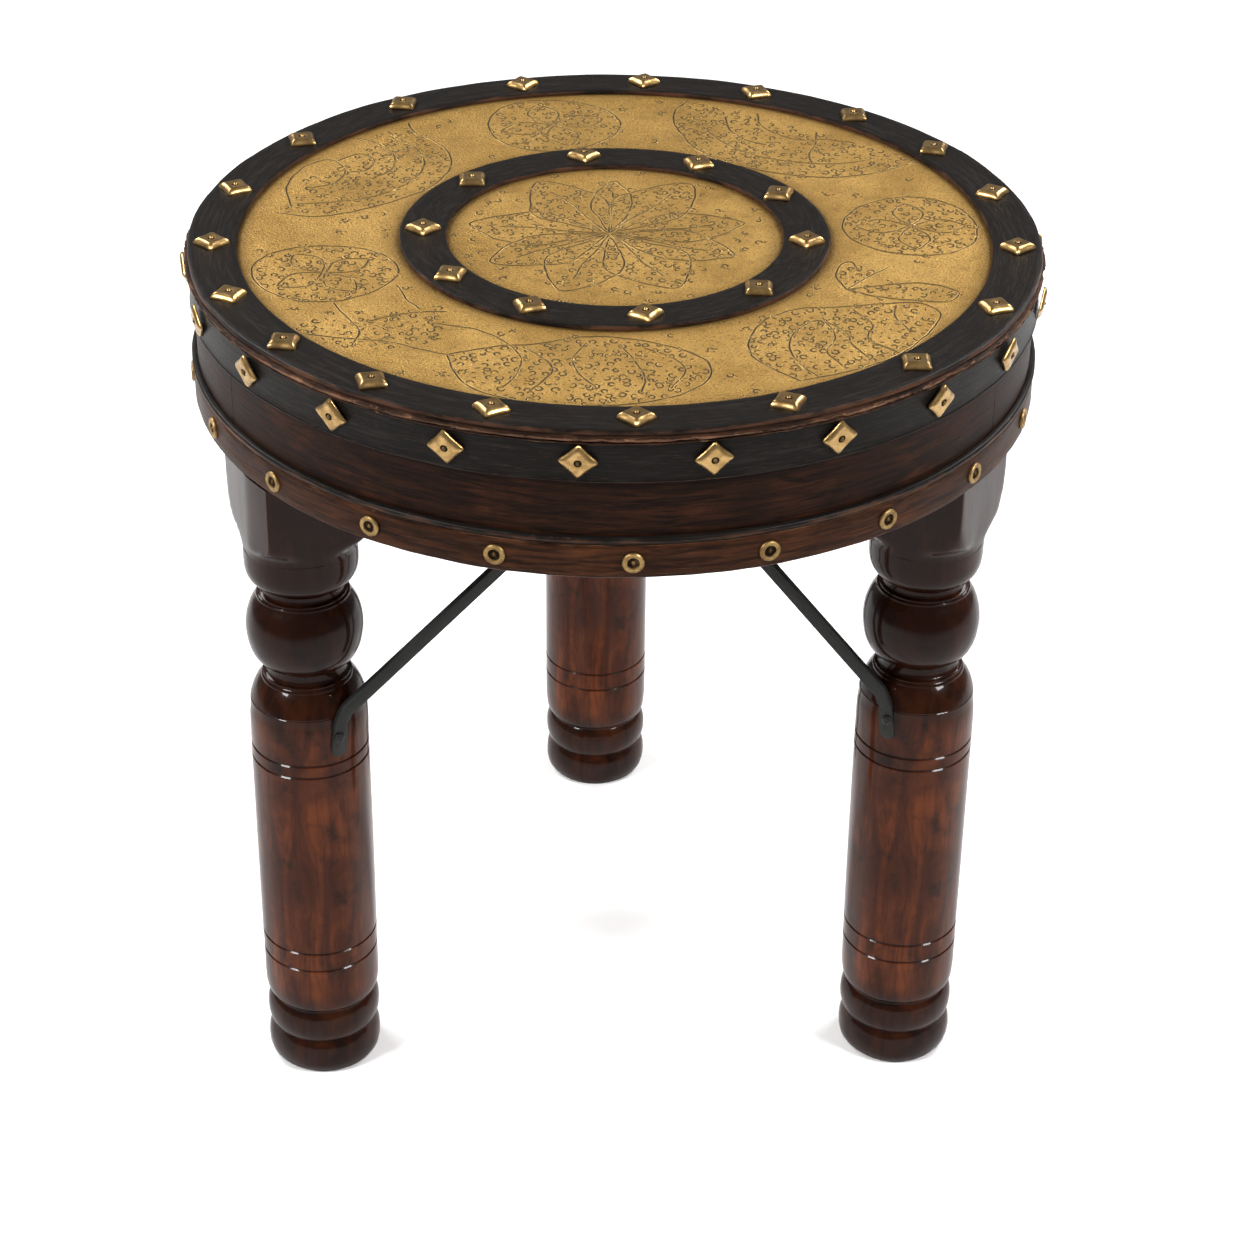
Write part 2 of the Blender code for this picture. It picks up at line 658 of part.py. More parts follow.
def brace_foot(i):
    """(x, z) centre of the lower end of a brace, x measured from the table axis."""
    return Vector((LEG_CIRCLE + BRACE_SHIFTS[i], SHAFT_TOP - BRACE_END_DROP + BRACE_LIFTS[i]))


def brace_outline(i):
    """(x, z) outline of the flat bar in its own plane, x measured from the table axis."""
    w = BRACE_WIDTH * 0.5
    foot = brace_foot(i)
    bend = Vector((foot.x - 0.0030, SHAFT_TOP + BRACE_BEND_RISE + BRACE_LIFTS[i]))
    head = Vector((BRACE_REACH[i] * BAND_RADIUS, Z_DRUM_LOW - GAP - PAD_THICKNESS * 0.5))
    rise = (bend - foot).normalized()
    slope = (head - bend).normalized()
    side_rise = Vector((-rise.y, rise.x))
    side_slope = Vector((-slope.y, slope.x))
    points = []
    for k in range(7):
        a = math.radians(180.0 + 180.0 * k / 6.0)
        points.append(foot + side_rise * (BRACE_END_RADIUS * math.cos(a)) + rise * (BRACE_END_RADIUS * math.sin(a)))
    steps = 4
    outer = []
    inner = []
    for k in range(steps + 1):
        t = k / steps
        side = (side_rise * (1.0 - t) + side_slope * t).normalized()
        reach = bend + rise * (-0.006 * (1.0 - t)) + slope * (0.006 * t)
        outer.append(reach - side * w)
        inner.append(reach + side * w)
    return points, outer, inner, head, side_slope * w


def make_brace(i):
    """Flat iron bar from the side of a leg to the boards under the drum, with its screws."""
    foot_arc, outer, inner, head, side = brace_outline(i)
    first = (foot_arc[0] - outer[0]).length < (foot_arc[0] - inner[0]).length
    near = outer if first else inner
    far = inner if first else outer
    cap = [head - side, head + side]
    if (cap[0] - near[-1]).length > (cap[1] - near[-1]).length:
        cap.reverse()
    outline = list(reversed(foot_arc)) + near + cap + list(reversed(far))
    low = brace_inner()
    bm = bmesh.new()
    face_a = [bm.verts.new((p.x, low, p.y)) for p in outline]
    face_b = [bm.verts.new((p.x, low + BRACE_THICKNESS, p.y)) for p in outline]
    n = len(outline)
    for k in range(n):
        m = (k + 1) % n
        bm.faces.new((face_a[k], face_a[m], face_b[m], face_b[k]))
    bm.faces.new(list(reversed(face_a)))
    bm.faces.new(face_b)
    brace = add_object("brace_" + str(i + 1), bm, "iron")

    top = Z_DRUM_LOW - GAP
    limit = prism([(-1.0, -1.0), (1.0, -1.0), (1.0, 1.0), (-1.0, 1.0)], top - PAD_THICKNESS * 0.5, top + 0.2)
    boolean(brace, tool_object(limit), "DIFFERENCE")

    reach = BRACE_REACH[i] * BAND_RADIUS
    mid = low + BRACE_THICKNESS * 0.5
    half = PAD_WIDTH * 0.5
    pad = []
    for k in range(7):
        a = math.radians(90.0 + 180.0 * k / 6.0)
        pad.append((reach - PAD_LENGTH + half + half * math.cos(a), mid + half * math.sin(a)))
    pad += [(reach + 0.010, mid - half), (reach + 0.010, mid + half)]
    boolean(brace, tool_object(prism(pad, top - PAD_THICKNESS, top)), "UNION")

    hole = rod(SCREW_RADIUS + SCREW_CLEARANCE * 1.3, -0.02, 0.02)
    hole.transform(Matrix.Translation((reach - PAD_LENGTH * 0.60, mid, top)))
    boolean(brace, tool_object(hole), "DIFFERENCE")
    hole = rod(SCREW_RADIUS + SCREW_CLEARANCE * 1.3, -0.02, 0.02)
    hole.transform(Matrix.Rotation(math.radians(-90.0), 4, "X"))
    screw = brace_foot(i) + Vector((0.0, BRACE_SCREW_RISE))
    hole.transform(Matrix.Translation((screw.x, mid, screw.y)))
    boolean(brace, tool_object(hole), "DIFFERENCE")

    turn = Matrix.Rotation(math.radians(leg_angle(i)), 4, "Z")
    if BRACE_SIDES[i] < 0:
        turn = turn @ Matrix.Scale(-1.0, 4, (0.0, 1.0, 0.0))
    brace.data.transform(turn)
    if BRACE_SIDES[i] < 0:
        brace.data.flip_normals()
    smooth(brace, 30.0)

    place = turn @ Matrix.Translation((screw.x, low + BRACE_THICKNESS + GAP, screw.y))
    place = place @ Matrix.Rotation(math.radians(-90.0), 4, "X")
    make_screw("brace_leg_screw_" + str(i + 1), place)
    place = turn @ Matrix.Translation((reach - PAD_LENGTH * 0.60, mid, top - PAD_THICKNESS - GAP))
    place = place @ Matrix.Rotation(math.radians(180.0), 4, "X")
    make_screw("brace_top_screw_" + str(i + 1), place)


def make_screw(name, place):
    """Round-headed screw: shank down -Z from the origin, head above."""
    screw = lathe([
        (0.0, -SCREW_LENGTH + 0.0006),
        (SCREW_RADIUS * 0.4, -SCREW_LENGTH + 0.0010),
        (SCREW_RADIUS, -SCREW_LENGTH + 0.0050),
        (SCREW_RADIUS, 0.0),
        (SCREW_HEAD, 0.0),
        (SCREW_HEAD * 0.80, SCREW_HEAD_HEIGHT * 0.65),
        (0.0, SCREW_HEAD_HEIGHT),
    ], 8)
    screw.transform(place)
    smooth(add_object(name, screw, "iron"))


def main():
    """Build every piece of the table."""
    for obj in list(bpy.data.objects):
        bpy.data.objects.remove(obj, do_unlink=True)
    make_top()
    make_drum()
    make_top_studs()
    for i in range(LEG_COUNT):
        make_leg(i)
        make_brace(i)


main()
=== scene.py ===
"""Looks of the brass tray table: engraved brass, studded dark bands, turned legs, iron braces.

Each sub-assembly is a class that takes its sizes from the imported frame, builds its pieces
with bmesh or curves and dresses them in procedural finishes.
"""
import logging
import math
import random
from collections.abc import Callable, Iterable, Sequence
from dataclasses import dataclass, field
from enum import Enum

import bmesh
import bpy
from mathutils import Matrix, Vector, noise


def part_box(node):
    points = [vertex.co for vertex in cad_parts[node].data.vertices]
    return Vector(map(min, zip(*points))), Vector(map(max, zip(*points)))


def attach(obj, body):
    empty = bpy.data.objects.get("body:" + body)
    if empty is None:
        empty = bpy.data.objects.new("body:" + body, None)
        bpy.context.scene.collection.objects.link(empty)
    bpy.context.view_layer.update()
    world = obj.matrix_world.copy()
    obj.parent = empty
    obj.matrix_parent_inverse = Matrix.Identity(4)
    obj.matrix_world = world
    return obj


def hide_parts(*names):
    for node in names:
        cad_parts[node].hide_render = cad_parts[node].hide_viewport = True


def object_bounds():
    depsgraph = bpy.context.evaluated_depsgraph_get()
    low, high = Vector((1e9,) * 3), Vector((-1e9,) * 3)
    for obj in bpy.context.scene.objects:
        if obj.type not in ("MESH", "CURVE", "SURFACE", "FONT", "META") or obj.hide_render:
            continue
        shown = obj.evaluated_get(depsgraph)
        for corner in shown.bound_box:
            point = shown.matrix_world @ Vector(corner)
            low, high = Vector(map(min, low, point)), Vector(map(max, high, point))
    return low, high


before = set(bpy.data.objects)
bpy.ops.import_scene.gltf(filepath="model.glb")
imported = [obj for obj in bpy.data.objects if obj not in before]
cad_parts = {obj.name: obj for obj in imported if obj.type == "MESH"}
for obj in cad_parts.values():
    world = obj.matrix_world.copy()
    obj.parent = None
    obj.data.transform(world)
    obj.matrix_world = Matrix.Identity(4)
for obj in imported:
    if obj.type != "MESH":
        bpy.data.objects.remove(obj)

LOG = logging.getLogger("tray_table")
CAD_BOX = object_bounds()
BODY = "root"
MILLIMETRE = 0.001
LONG_CHIP = (16.0, 420.0)
FINE_CHIP = (55.0, 900.0)

Point = tuple[float, float]
Triple = tuple[float, float, float]
Colour = Triple
Socket = bpy.types.NodeSocket
Finish = bpy.types.Material
Shape = bmesh.types.BMesh
Shade = Callable[[Vector], float]


class Slot(Enum):
    """Material slots of the record."""

    SHEET = "sheet_brass"
    STUD = "stud_brass"
    EBONY = "ebonised_wood"
    WOOD = "dark_wood"
    BOARD = "board_wood"
    IRON = "iron"


class Stroke(Enum):
    """Kinds of mark that a chasing tool leaves in the brass."""

    LINE = "line"
    PUNCH = "punch"
    DOT = "dot"


# --------------------------------------------------------------------------- materials


class Recipe:
    """A node tree under construction, with short names for the nodes the finishes use."""

    def __init__(self, name: str) -> None:
        """Start an empty material.

        Args:
            name: Name of the material.
        """
        self.material = bpy.data.materials.new(name)
        self.material.use_nodes = True
        self.tree = self.material.node_tree
        self.shader = self.tree.nodes["Principled BSDF"]
        self.place = self.tree.nodes.new("ShaderNodeTexCoord").outputs["Object"]

    def link(self, source: Socket, target: Socket) -> None:
        """Join two sockets."""
        self.tree.links.new(source, target)

    def put(self, target: Socket, value: object) -> None:
        """Link a socket or set a plain value on a socket.

        Args:
            target: Input socket.
            value: Another socket, a number or a colour.
        """
        if isinstance(value, Socket):
            self.link(value, target)
        elif isinstance(value, tuple) and len(value) == 3 and target.type == "RGBA":
            target.default_value = (*value, 1.0)
        else:
            target.default_value = value

    def mapped(self, scale: Triple, move: Triple = (0.0, 0.0, 0.0), source: Socket | None = None) -> Socket:
        """Scale and move a coordinate.

        Args:
            scale: Factor on each axis.
            move: Distance added after the scaling.
            source: Coordinate to change; the object's own when left out.

        Returns:
            The changed coordinate.
        """
        node = self.tree.nodes.new("ShaderNodeMapping")
        node.inputs["Scale"].default_value = scale
        node.inputs["Location"].default_value = move
        self.link(source or self.place, node.inputs["Vector"])
        return node.outputs["Vector"]

    def math(self, kind: str, a: object, b: object = 0.0, c: object = 0.0, clamp: bool = False) -> Socket:
        """Add a math node and return its result.

        Args:
            kind: Operation, such as MULTIPLY.
            a: First value.
            b: Second value.
            c: Third value, used by some operations.
            clamp: Keep the result between 0 and 1.

        Returns:
            The result socket.
        """
        node = self.tree.nodes.new("ShaderNodeMath")
        node.operation = kind
        node.use_clamp = clamp
        for socket, value in zip(node.inputs, (a, b, c)):
            self.put(socket, value)
        return node.outputs[0]

    def split(self, vector: Socket) -> tuple[Socket, ...]:
        """Take a vector apart.

        Args:
            vector: The vector.

        Returns:
            Its x, y and z.
        """
        node = self.tree.nodes.new("ShaderNodeSeparateXYZ")
        self.link(vector, node.inputs[0])
        return tuple(node.outputs)

    def join(self, x: object, y: object, z: object) -> Socket:
        """Make a vector.

        Args:
            x: Value along X.
            y: Value along Y.
            z: Value along Z.

        Returns:
            The vector.
        """
        node = self.tree.nodes.new("ShaderNodeCombineXYZ")
        for socket, value in zip(node.inputs, (x, y, z)):
            self.put(socket, value)
        return node.outputs[0]

    def radius(self) -> Socket:
        """Return the distance from the table's axis."""
        x, y, _ = self.split(self.place)
        return self.math("SQRT", self.math("ADD", self.math("MULTIPLY", x, x), self.math("MULTIPLY", y, y)))

    def around(self, circle: float, across: float, up: float) -> Socket:
        """Coordinate that follows a ring, with no seam.

        Args:
            circle: Cycles of the pattern along the ring, per radian.
            across: Cycles per metre of radius.
            up: Cycles per metre of height.

        Returns:
            The coordinate.
        """
        x, y, z = self.split(self.place)
        far = self.radius()
        u = self.math("MULTIPLY", self.math("DIVIDE", x, far), circle)
        v = self.math("MULTIPLY", self.math("DIVIDE", y, far), circle)
        w = self.math("ADD", self.math("MULTIPLY", far, across), self.math("MULTIPLY", z, up))
        return self.join(u, v, w)

    def noise(self, vector: Socket, scale: float, detail: float = 4.0, rough: float = 0.55,
              warp: float = 0.0) -> Socket:
        """Add a noise texture.

        Args:
            vector: Coordinate that it reads.
            scale: Its frequency.
            detail: How many finer layers it has.
            rough: Strength of the finer layers.
            warp: How far it is distorted.

        Returns:
            Its value.
        """
        node = self.tree.nodes.new("ShaderNodeTexNoise")
        node.inputs["Scale"].default_value = scale
        node.inputs["Detail"].default_value = detail
        node.inputs["Roughness"].default_value = rough
        node.inputs["Distortion"].default_value = warp
        self.link(vector, node.inputs["Vector"])
        return node.outputs["Fac"]

    def spread(self, value: Socket, low: float, high: float, to_low: float = 0.0,
               to_high: float = 1.0) -> Socket:
        """Map a value from one range to another, smoothly and clamped.

        Args:
            value: The value.
            low: Start of its range.
            high: End of its range.
            to_low: What the start becomes.
            to_high: What the end becomes.

        Returns:
            The mapped value.
        """
        node = self.tree.nodes.new("ShaderNodeMapRange")
        node.interpolation_type = "SMOOTHSTEP"
        for name, number in (("From Min", low), ("From Max", high), ("To Min", to_low), ("To Max", to_high)):
            node.inputs[name].default_value = number
        self.link(value, node.inputs["Value"])
        return node.outputs["Result"]

    def blend(self, share: object, first: object, second: object) -> Socket:
        """Mix two colours.

        Args:
            share: 0 for the first colour, 1 for the second.
            first: Colour or socket.
            second: Colour or socket.

        Returns:
            The mixed colour.
        """
        node = self.tree.nodes.new("ShaderNodeMix")
        node.data_type = "RGBA"
        self.put(node.inputs[0], share)
        self.put(node.inputs[6], first)
        self.put(node.inputs[7], second)
        return node.outputs[2]

    def attribute(self, name: str) -> Socket:
        """Read a number that is stored on the mesh.

        Args:
            name: Name of the attribute.

        Returns:
            The number.
        """
        node = self.tree.nodes.new("ShaderNodeAttribute")
        node.attribute_name = name
        return node.outputs["Fac"]

    def bump(self, height: Socket, distance: float, strength: float = 1.0,
             below: Socket | None = None) -> Socket:
        """Add a bump, on top of another when one is given.

        Args:
            height: Pattern that raises the surface.
            distance: Height of the pattern, in metres.
            strength: Share of the bump that shows.
            below: Normal of the bump underneath.

        Returns:
            The bumped normal.
        """
        node = self.tree.nodes.new("ShaderNodeBump")
        node.inputs["Distance"].default_value = distance
        node.inputs["Strength"].default_value = strength
        self.link(height, node.inputs["Height"])
        if below is not None:
            self.link(below, node.inputs["Normal"])
        return node.outputs["Normal"]

    def finish(self, **values: object) -> Finish:
        """Set the shader's inputs and return the material.

        Args:
            **values: Input names with underscores for spaces, and their values.

        Returns:
            The finished material.
        """
        for name, value in values.items():
            self.put(self.shader.inputs[name.replace("_", " ")], value)
        return self.material


@dataclass(frozen=True)
class SheetBrass:
    """Aged sheet brass: satin, olive gold, browned beside the bands and finely scratched."""

    name: str = "aged_sheet_brass"
    gold: Colour = (0.460, 0.272, 0.070)
    bright: Colour = (0.640, 0.395, 0.115)
    brown: Colour = (0.090, 0.050, 0.016)
    edges: tuple[tuple[float, float], ...] = ((0.2645, -1.0), (0.1516, 1.0), (0.1187, -1.0))
    halo: float = 0.016

    def material(self) -> Finish:
        """Build the brass with its patina, scratches and stipple.

        Returns:
            The material.
        """
        r = Recipe(self.name)
        flat = r.mapped((1.0, 1.0, 0.0))
        cloud = r.noise(flat, 14.0, 5.0, 0.6, 0.4)
        mottle = r.noise(flat, 90.0, 6.0, 0.7)
        grain = r.noise(flat, 900.0, 3.0, 0.7)
        far = r.radius()
        halo: object = 0.0
        for edge, side in self.edges:
            reach = r.math("ADD", self.halo, r.math("MULTIPLY", r.math("SUBTRACT", cloud, 0.5), 0.02))
            gap = r.math("MULTIPLY", r.math("SUBTRACT", far, edge), side)
            inside = r.math("GREATER_THAN", gap, -0.012)
            near = r.math("SUBTRACT", 1.0, r.math("DIVIDE", gap, reach), clamp=True)
            halo = r.math("MAXIMUM", halo, r.math("MULTIPLY", near, inside))
        halo = r.math("POWER", halo, 1.6)
        base = r.blend(r.spread(cloud, 0.35, 0.68), self.gold, self.bright)
        base = r.blend(r.math("MULTIPLY", r.spread(mottle, 0.48, 0.72), 0.38), base, self.brown)
        base = r.blend(r.math("MULTIPLY", halo, 0.85), base, self.brown)
        pits = r.noise(flat, 520.0, 2.0, 0.5)
        base = r.blend(r.math("MULTIPLY", r.spread(grain, 0.48, 0.66), 0.60), base, self.brown)
        base = r.blend(r.math("MULTIPLY", r.spread(pits, 0.56, 0.66), 0.60), base, self.brown)
        along = r.noise(r.mapped((260.0, 9.0, 0.0)), 1.0, 2.0, 0.5)
        athwart = r.noise(r.mapped((11.0, 240.0, 0.0)), 1.0, 2.0, 0.5)
        scratch = r.math("MAXIMUM", r.spread(along, 0.66, 0.72), r.spread(athwart, 0.67, 0.73))
        rough = r.math("ADD", 0.40, r.math("MULTIPLY", mottle, 0.16))
        rough = r.math("ADD", rough, r.math("MULTIPLY", halo, 0.16))
        normal = r.bump(r.noise(flat, 26.0, 2.0, 0.5), 0.0016, 0.55)
        normal = r.bump(grain, 0.00055, 1.0, normal)
        normal = r.bump(pits, 0.00080, 1.0, normal)
        normal = r.bump(scratch, 0.00006, 0.6, normal)
        return r.finish(Base_Color=base, Metallic=1.0, Roughness=rough, Normal=normal)


@dataclass(frozen=True)
class EngravedBrass:
    """Chased lines: bright burrs beside a groove dark with old polish."""

    surface: float
    name: str = "engraved_brass"
    groove: Colour = (0.030, 0.018, 0.007)
    burr: Colour = (0.520, 0.335, 0.110)

    def material(self) -> Finish:
        """Build the finish, dark low down and bright on the crests.

        Returns:
            The material.
        """
        r = Recipe(self.name)
        _, _, z = r.split(r.place)
        lift = r.math("MULTIPLY", r.math("SUBTRACT", z, self.surface), 1.0 / MILLIMETRE)
        crest = r.spread(lift, 0.055, 0.100)
        wear = r.noise(r.place, 120.0, 3.0, 0.6)
        crest = r.math("MULTIPLY", crest, r.spread(wear, 0.30, 0.55, 0.45, 1.0))
        base = r.blend(crest, self.groove, self.burr)
        rough = r.math("SUBTRACT", 0.62, r.math("MULTIPLY", crest, 0.16))
        return r.finish(Base_Color=base, Metallic=crest, Roughness=rough, Specular_IOR_Level=0.1)


@dataclass(frozen=True)
class StudBrass:
    """Cast brass nail heads, rubbed bright on the edges, with painted shade in the hollow round the pin."""

    name: str = "stud_brass"
    bright: Colour = (0.440, 0.285, 0.112)
    worn: Colour = (0.270, 0.163, 0.062)
    dark: Colour = (0.022, 0.014, 0.009)

    def material(self) -> Finish:
        """Build the finish, its painted shade driven by how hollow each point of the cap is.

        Returns:
            The material.
        """
        r = Recipe(self.name)
        hollow = r.attribute("hollow")
        cloud = r.noise(r.place, 160.0, 4.0, 0.6)
        fine = r.noise(r.place, 900.0, 2.0, 0.6)
        base = r.blend(r.spread(cloud, 0.36, 0.66), self.bright, self.worn)
        # Painted shade: darkens each cap's dish and its pin, the side diamonds' pins more than the top
        # caps'. The round caps' raised ring takes a lighter share, as a darker brass tone.
        hollow_shade_and_tone = r.math("MULTIPLY", hollow, r.math("ADD", 0.55, r.math("MULTIPLY", cloud, 0.9)), clamp=True)
        base = r.blend(hollow_shade_and_tone, base, self.dark)
        rough = r.math("ADD", 0.25, r.math("MULTIPLY", hollow_shade_and_tone, 0.40))
        rough = r.math("ADD", rough, r.math("MULTIPLY", cloud, 0.12))
        return r.finish(Base_Color=base, Metallic=1.0, Roughness=rough, Normal=r.bump(fine, 0.00008, 0.5))


@dataclass(frozen=True)
class EbonisedWood:
    """Blackened band: blue-black sheen, streaks along the ring, brown where it is rubbed."""

    name: str = "ebonised_band"
    black: Colour = (0.0062, 0.0050, 0.0042)
    grey: Colour = (0.0165, 0.0140, 0.0125)
    brown: Colour = (0.080, 0.034, 0.018)

    def material(self) -> Finish:
        """Build the finish, with its wear from the mesh's edges.

        Returns:
            The material.
        """
        r = Recipe(self.name)
        streak = r.noise(r.around(9.0, 420.0, 420.0), 1.0, 5.0, 0.62, 0.3)
        hair = r.noise(r.around(26.0, 1900.0, 1900.0), 1.0, 3.0, 0.6)
        cloud = r.noise(r.place, 22.0, 4.0, 0.6)
        edge = r.attribute("wear")
        base = r.blend(r.math("MULTIPLY", r.spread(streak, 0.46, 0.72), 0.75), self.black, self.grey)
        base = r.blend(r.math("MULTIPLY", r.spread(hair, 0.60, 0.72), 0.45), base, self.brown)
        chafe = r.math("ADD", r.math("MULTIPLY", edge, 0.50), r.math("MULTIPLY", streak, 0.55))
        chafe = r.math("ADD", chafe, r.math("MULTIPLY", r.math("SUBTRACT", cloud, 0.5), 0.9))
        base = r.blend(r.math("MULTIPLY", r.spread(chafe, 0.62, 0.95), 0.85), base, self.brown)
        rough = r.math("ADD", 0.30, r.math("MULTIPLY", streak, 0.22))
        normal = r.bump(streak, 0.0007, 0.5)
        normal = r.bump(hair, 0.00018, 0.6, normal)
        return r.finish(Base_Color=base, Roughness=rough, Normal=normal, Specular_IOR_Level=0.08)


@dataclass(frozen=True)
class RingWood:
    """Stained wood bent or cut to the drum, its grain running round the ring."""

    name: str = "drum_walnut"
    dark: Colour = (0.0060, 0.0028, 0.0018)
    mid: Colour = (0.0180, 0.0068, 0.0034)
    red: Colour = (0.075, 0.023, 0.009)
    raw: Colour = (0.230, 0.120, 0.068)
    redness: float = 0.4
    rawness: float = 0.0
    fibre: float = 0.10
    gloss: float = 0.36

    def material(self) -> Finish:
        """Build the wood with grain, stain clouds and worn edges.

        Returns:
            The material.
        """
        r = Recipe(self.name)
        grain = r.noise(r.around(7.0, 260.0, 260.0), 1.0, 6.0, 0.62, 0.6)
        pore = r.noise(r.around(34.0, 2200.0, 2200.0), 1.0, 3.0, 0.6)
        cloud = r.noise(r.place, 16.0, 5.0, 0.62, 0.5)
        edge = r.attribute("wear")
        base = r.blend(r.spread(grain, 0.32, 0.66), self.dark, self.mid)
        glow = r.math("MULTIPLY", r.spread(cloud, 0.44, 0.72), r.spread(grain, 0.40, 0.70))
        base = r.blend(r.math("MULTIPLY", glow, self.redness), base, self.red)
        base = r.blend(r.math("MULTIPLY", r.spread(pore, 0.60, 0.74), 0.55), base, self.dark)
        fibre = r.noise(r.around(16.0, 1100.0, 1100.0), 1.0, 4.0, 0.65, 0.5)
        share = r.math("ADD", 0.25, r.math("MULTIPLY", edge, 0.75))
        lines = r.math("MULTIPLY", r.spread(fibre, 0.55, 0.66), share)
        base = r.blend(r.math("MULTIPLY", lines, self.fibre, clamp=True), base, self.raw)
        chafe = r.math("ADD", r.math("MULTIPLY", edge, 0.70), r.math("MULTIPLY", grain, 0.45))
        chafe = r.math("ADD", chafe, r.math("MULTIPLY", r.math("SUBTRACT", cloud, 0.5), 0.8))
        bare = r.math("MULTIPLY", r.spread(chafe, 0.74, 1.02), self.rawness)
        base = r.blend(bare, base, self.raw)
        rough = r.math("ADD", self.gloss, r.math("MULTIPLY", grain, 0.14))
        rough = r.math("ADD", rough, r.math("MULTIPLY", bare, 0.25))
        normal = r.bump(grain, 0.0008, 0.5)
        normal = r.bump(pore, 0.0002, 0.6, normal)
        normal = r.bump(fibre, 0.0009 * self.fibre, 0.9, normal)
        return r.finish(Base_Color=base, Roughness=rough, Normal=normal, Specular_IOR_Level=0.05)


@dataclass(frozen=True)
class LegWood:
    """Turned leg under old lacquer: upright grain, dark blotches, deep gloss."""

    centre: Vector
    name: str = "leg_lacquer"
    dark: Colour = (0.0040, 0.0014, 0.0008)
    mid: Colour = (0.030, 0.0062, 0.0016)
    red: Colour = (0.112, 0.0260, 0.0055)

    def material(self) -> Finish:
        """Build the wood, its grain running up this leg.

        Returns:
            The material.
        """
        r = Recipe(self.name)
        own = r.mapped((1.0, 1.0, 1.0), (-self.centre.x, -self.centre.y, 0.0))
        grain = r.noise(r.mapped((70.0, 70.0, 12.0), source=own), 1.0, 6.0, 0.62, 0.9)
        pore = r.noise(r.mapped((520.0, 520.0, 40.0), source=own), 1.0, 3.0, 0.6)
        cloud = r.noise(own, 13.0, 5.0, 0.62, 0.4)
        blot = r.noise(own, 34.0, 4.0, 0.6)
        base = r.blend(r.spread(grain, 0.34, 0.68), self.mid, self.red)
        base = r.blend(r.spread(cloud, 0.38, 0.66, 0.0, 0.85), base, self.mid)
        base = r.blend(r.spread(blot, 0.52, 0.74, 0.0, 0.85), base, self.dark)
        # Darkens by the wear attribute: the legs' dark stain above and below the shaft, and painted shade in
        # the grooves and narrow turnings.
        base = r.blend(r.math("MULTIPLY", r.attribute("wear"), 0.80), base, self.dark)
        base = r.blend(r.math("MULTIPLY", r.spread(pore, 0.58, 0.72), 0.45), base, self.dark)
        rough = r.math("ADD", 0.26, r.math("MULTIPLY", grain, 0.16))
        normal = r.bump(grain, 0.0006, 0.30)
        normal = r.bump(pore, 0.00012, 0.5, normal)
        return r.finish(Base_Color=base, Roughness=rough, Normal=normal, Specular_IOR_Level=0.03,
                        Coat_Weight=0.42, Coat_IOR=1.32, Coat_Roughness=0.07)


@dataclass(frozen=True)
class BoardWood:
    """Unfinished sawn boards under the drum."""

    name: str = "sawn_board"
    pale: Colour = (0.260, 0.160, 0.090)
    dark: Colour = (0.110, 0.060, 0.032)

    def material(self) -> Finish:
        """Build the board with straight grain along X.

        Returns:
            The material.
        """
        r = Recipe(self.name)
        grain = r.noise(r.mapped((5.0, 90.0, 90.0)), 1.0, 6.0, 0.62, 0.8)
        pore = r.noise(r.mapped((30.0, 900.0, 900.0)), 1.0, 3.0, 0.6)
        saw = r.noise(r.mapped((260.0, 4.0, 4.0)), 1.0, 2.0, 0.5)
        base = r.blend(r.spread(grain, 0.34, 0.66), self.pale, self.dark)
        base = r.blend(r.math("MULTIPLY", r.spread(pore, 0.56, 0.74), 0.5), base, self.dark)
        normal = r.bump(grain, 0.0008, 0.6)
        normal = r.bump(saw, 0.0003, 0.5, normal)
        return r.finish(Base_Color=base, Roughness=0.78, Normal=normal)


@dataclass(frozen=True)
class ForgedIron:
    """Hand-forged black iron: dull scale with a faint brown bloom."""

    name: str = "forged_iron"
    black: Colour = (0.012, 0.012, 0.011)
    rust: Colour = (0.040, 0.026, 0.018)

    def material(self) -> Finish:
        """Build the iron with hammer marks.

        Returns:
            The material.
        """
        r = Recipe(self.name)
        scale = r.noise(r.place, 220.0, 5.0, 0.65)
        dent = r.noise(r.place, 70.0, 2.0, 0.5)
        bloom = r.noise(r.place, 40.0, 5.0, 0.62)
        base = r.blend(r.math("MULTIPLY", r.spread(bloom, 0.54, 0.78), 0.6), self.black, self.rust)
        rough = r.math("ADD", 0.42, r.math("MULTIPLY", scale, 0.22))
        normal = r.bump(dent, 0.0010, 0.5)
        normal = r.bump(scale, 0.0003, 0.5, normal)
        return r.finish(Base_Color=base, Metallic=0.55, Roughness=rough, Normal=normal)


# --------------------------------------------------------------------------- mesh helpers


def polar(radius: float, degrees: float, z: float = 0.0) -> Vector:
    """Return the point at a radius and angle round the table's axis."""
    a = math.radians(degrees)
    return Vector((radius * math.cos(a), radius * math.sin(a), z))


def adopt(name: str, bm: Shape, material: Finish,
          replaces: Sequence[str] = (), sharp: float = 38.0) -> bpy.types.Object:
    """Turn a bmesh into a finished piece of the table.

    Args:
        name: Name of the piece.
        bm: Its closed mesh, in the table's own frame.
        material: Its finish.
        replaces: CAD nodes that the piece stands for.
        sharp: Angle above which an edge stays hard, in degrees.

    Returns:
        The piece.
    """
    mesh = bpy.data.meshes.new(name)
    bm.to_mesh(mesh)
    bm.free()
    mesh.shade_smooth()
    mesh.set_sharp_from_angle(angle=math.radians(sharp))
    mesh.materials.append(material)
    piece = bpy.data.objects.new(name, mesh)
    bpy.context.scene.collection.objects.link(piece)
    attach(piece, BODY)
    if replaces:
        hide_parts(*replaces)
    LOG.info("%s: %d faces", name, len(mesh.polygons))
    return piece


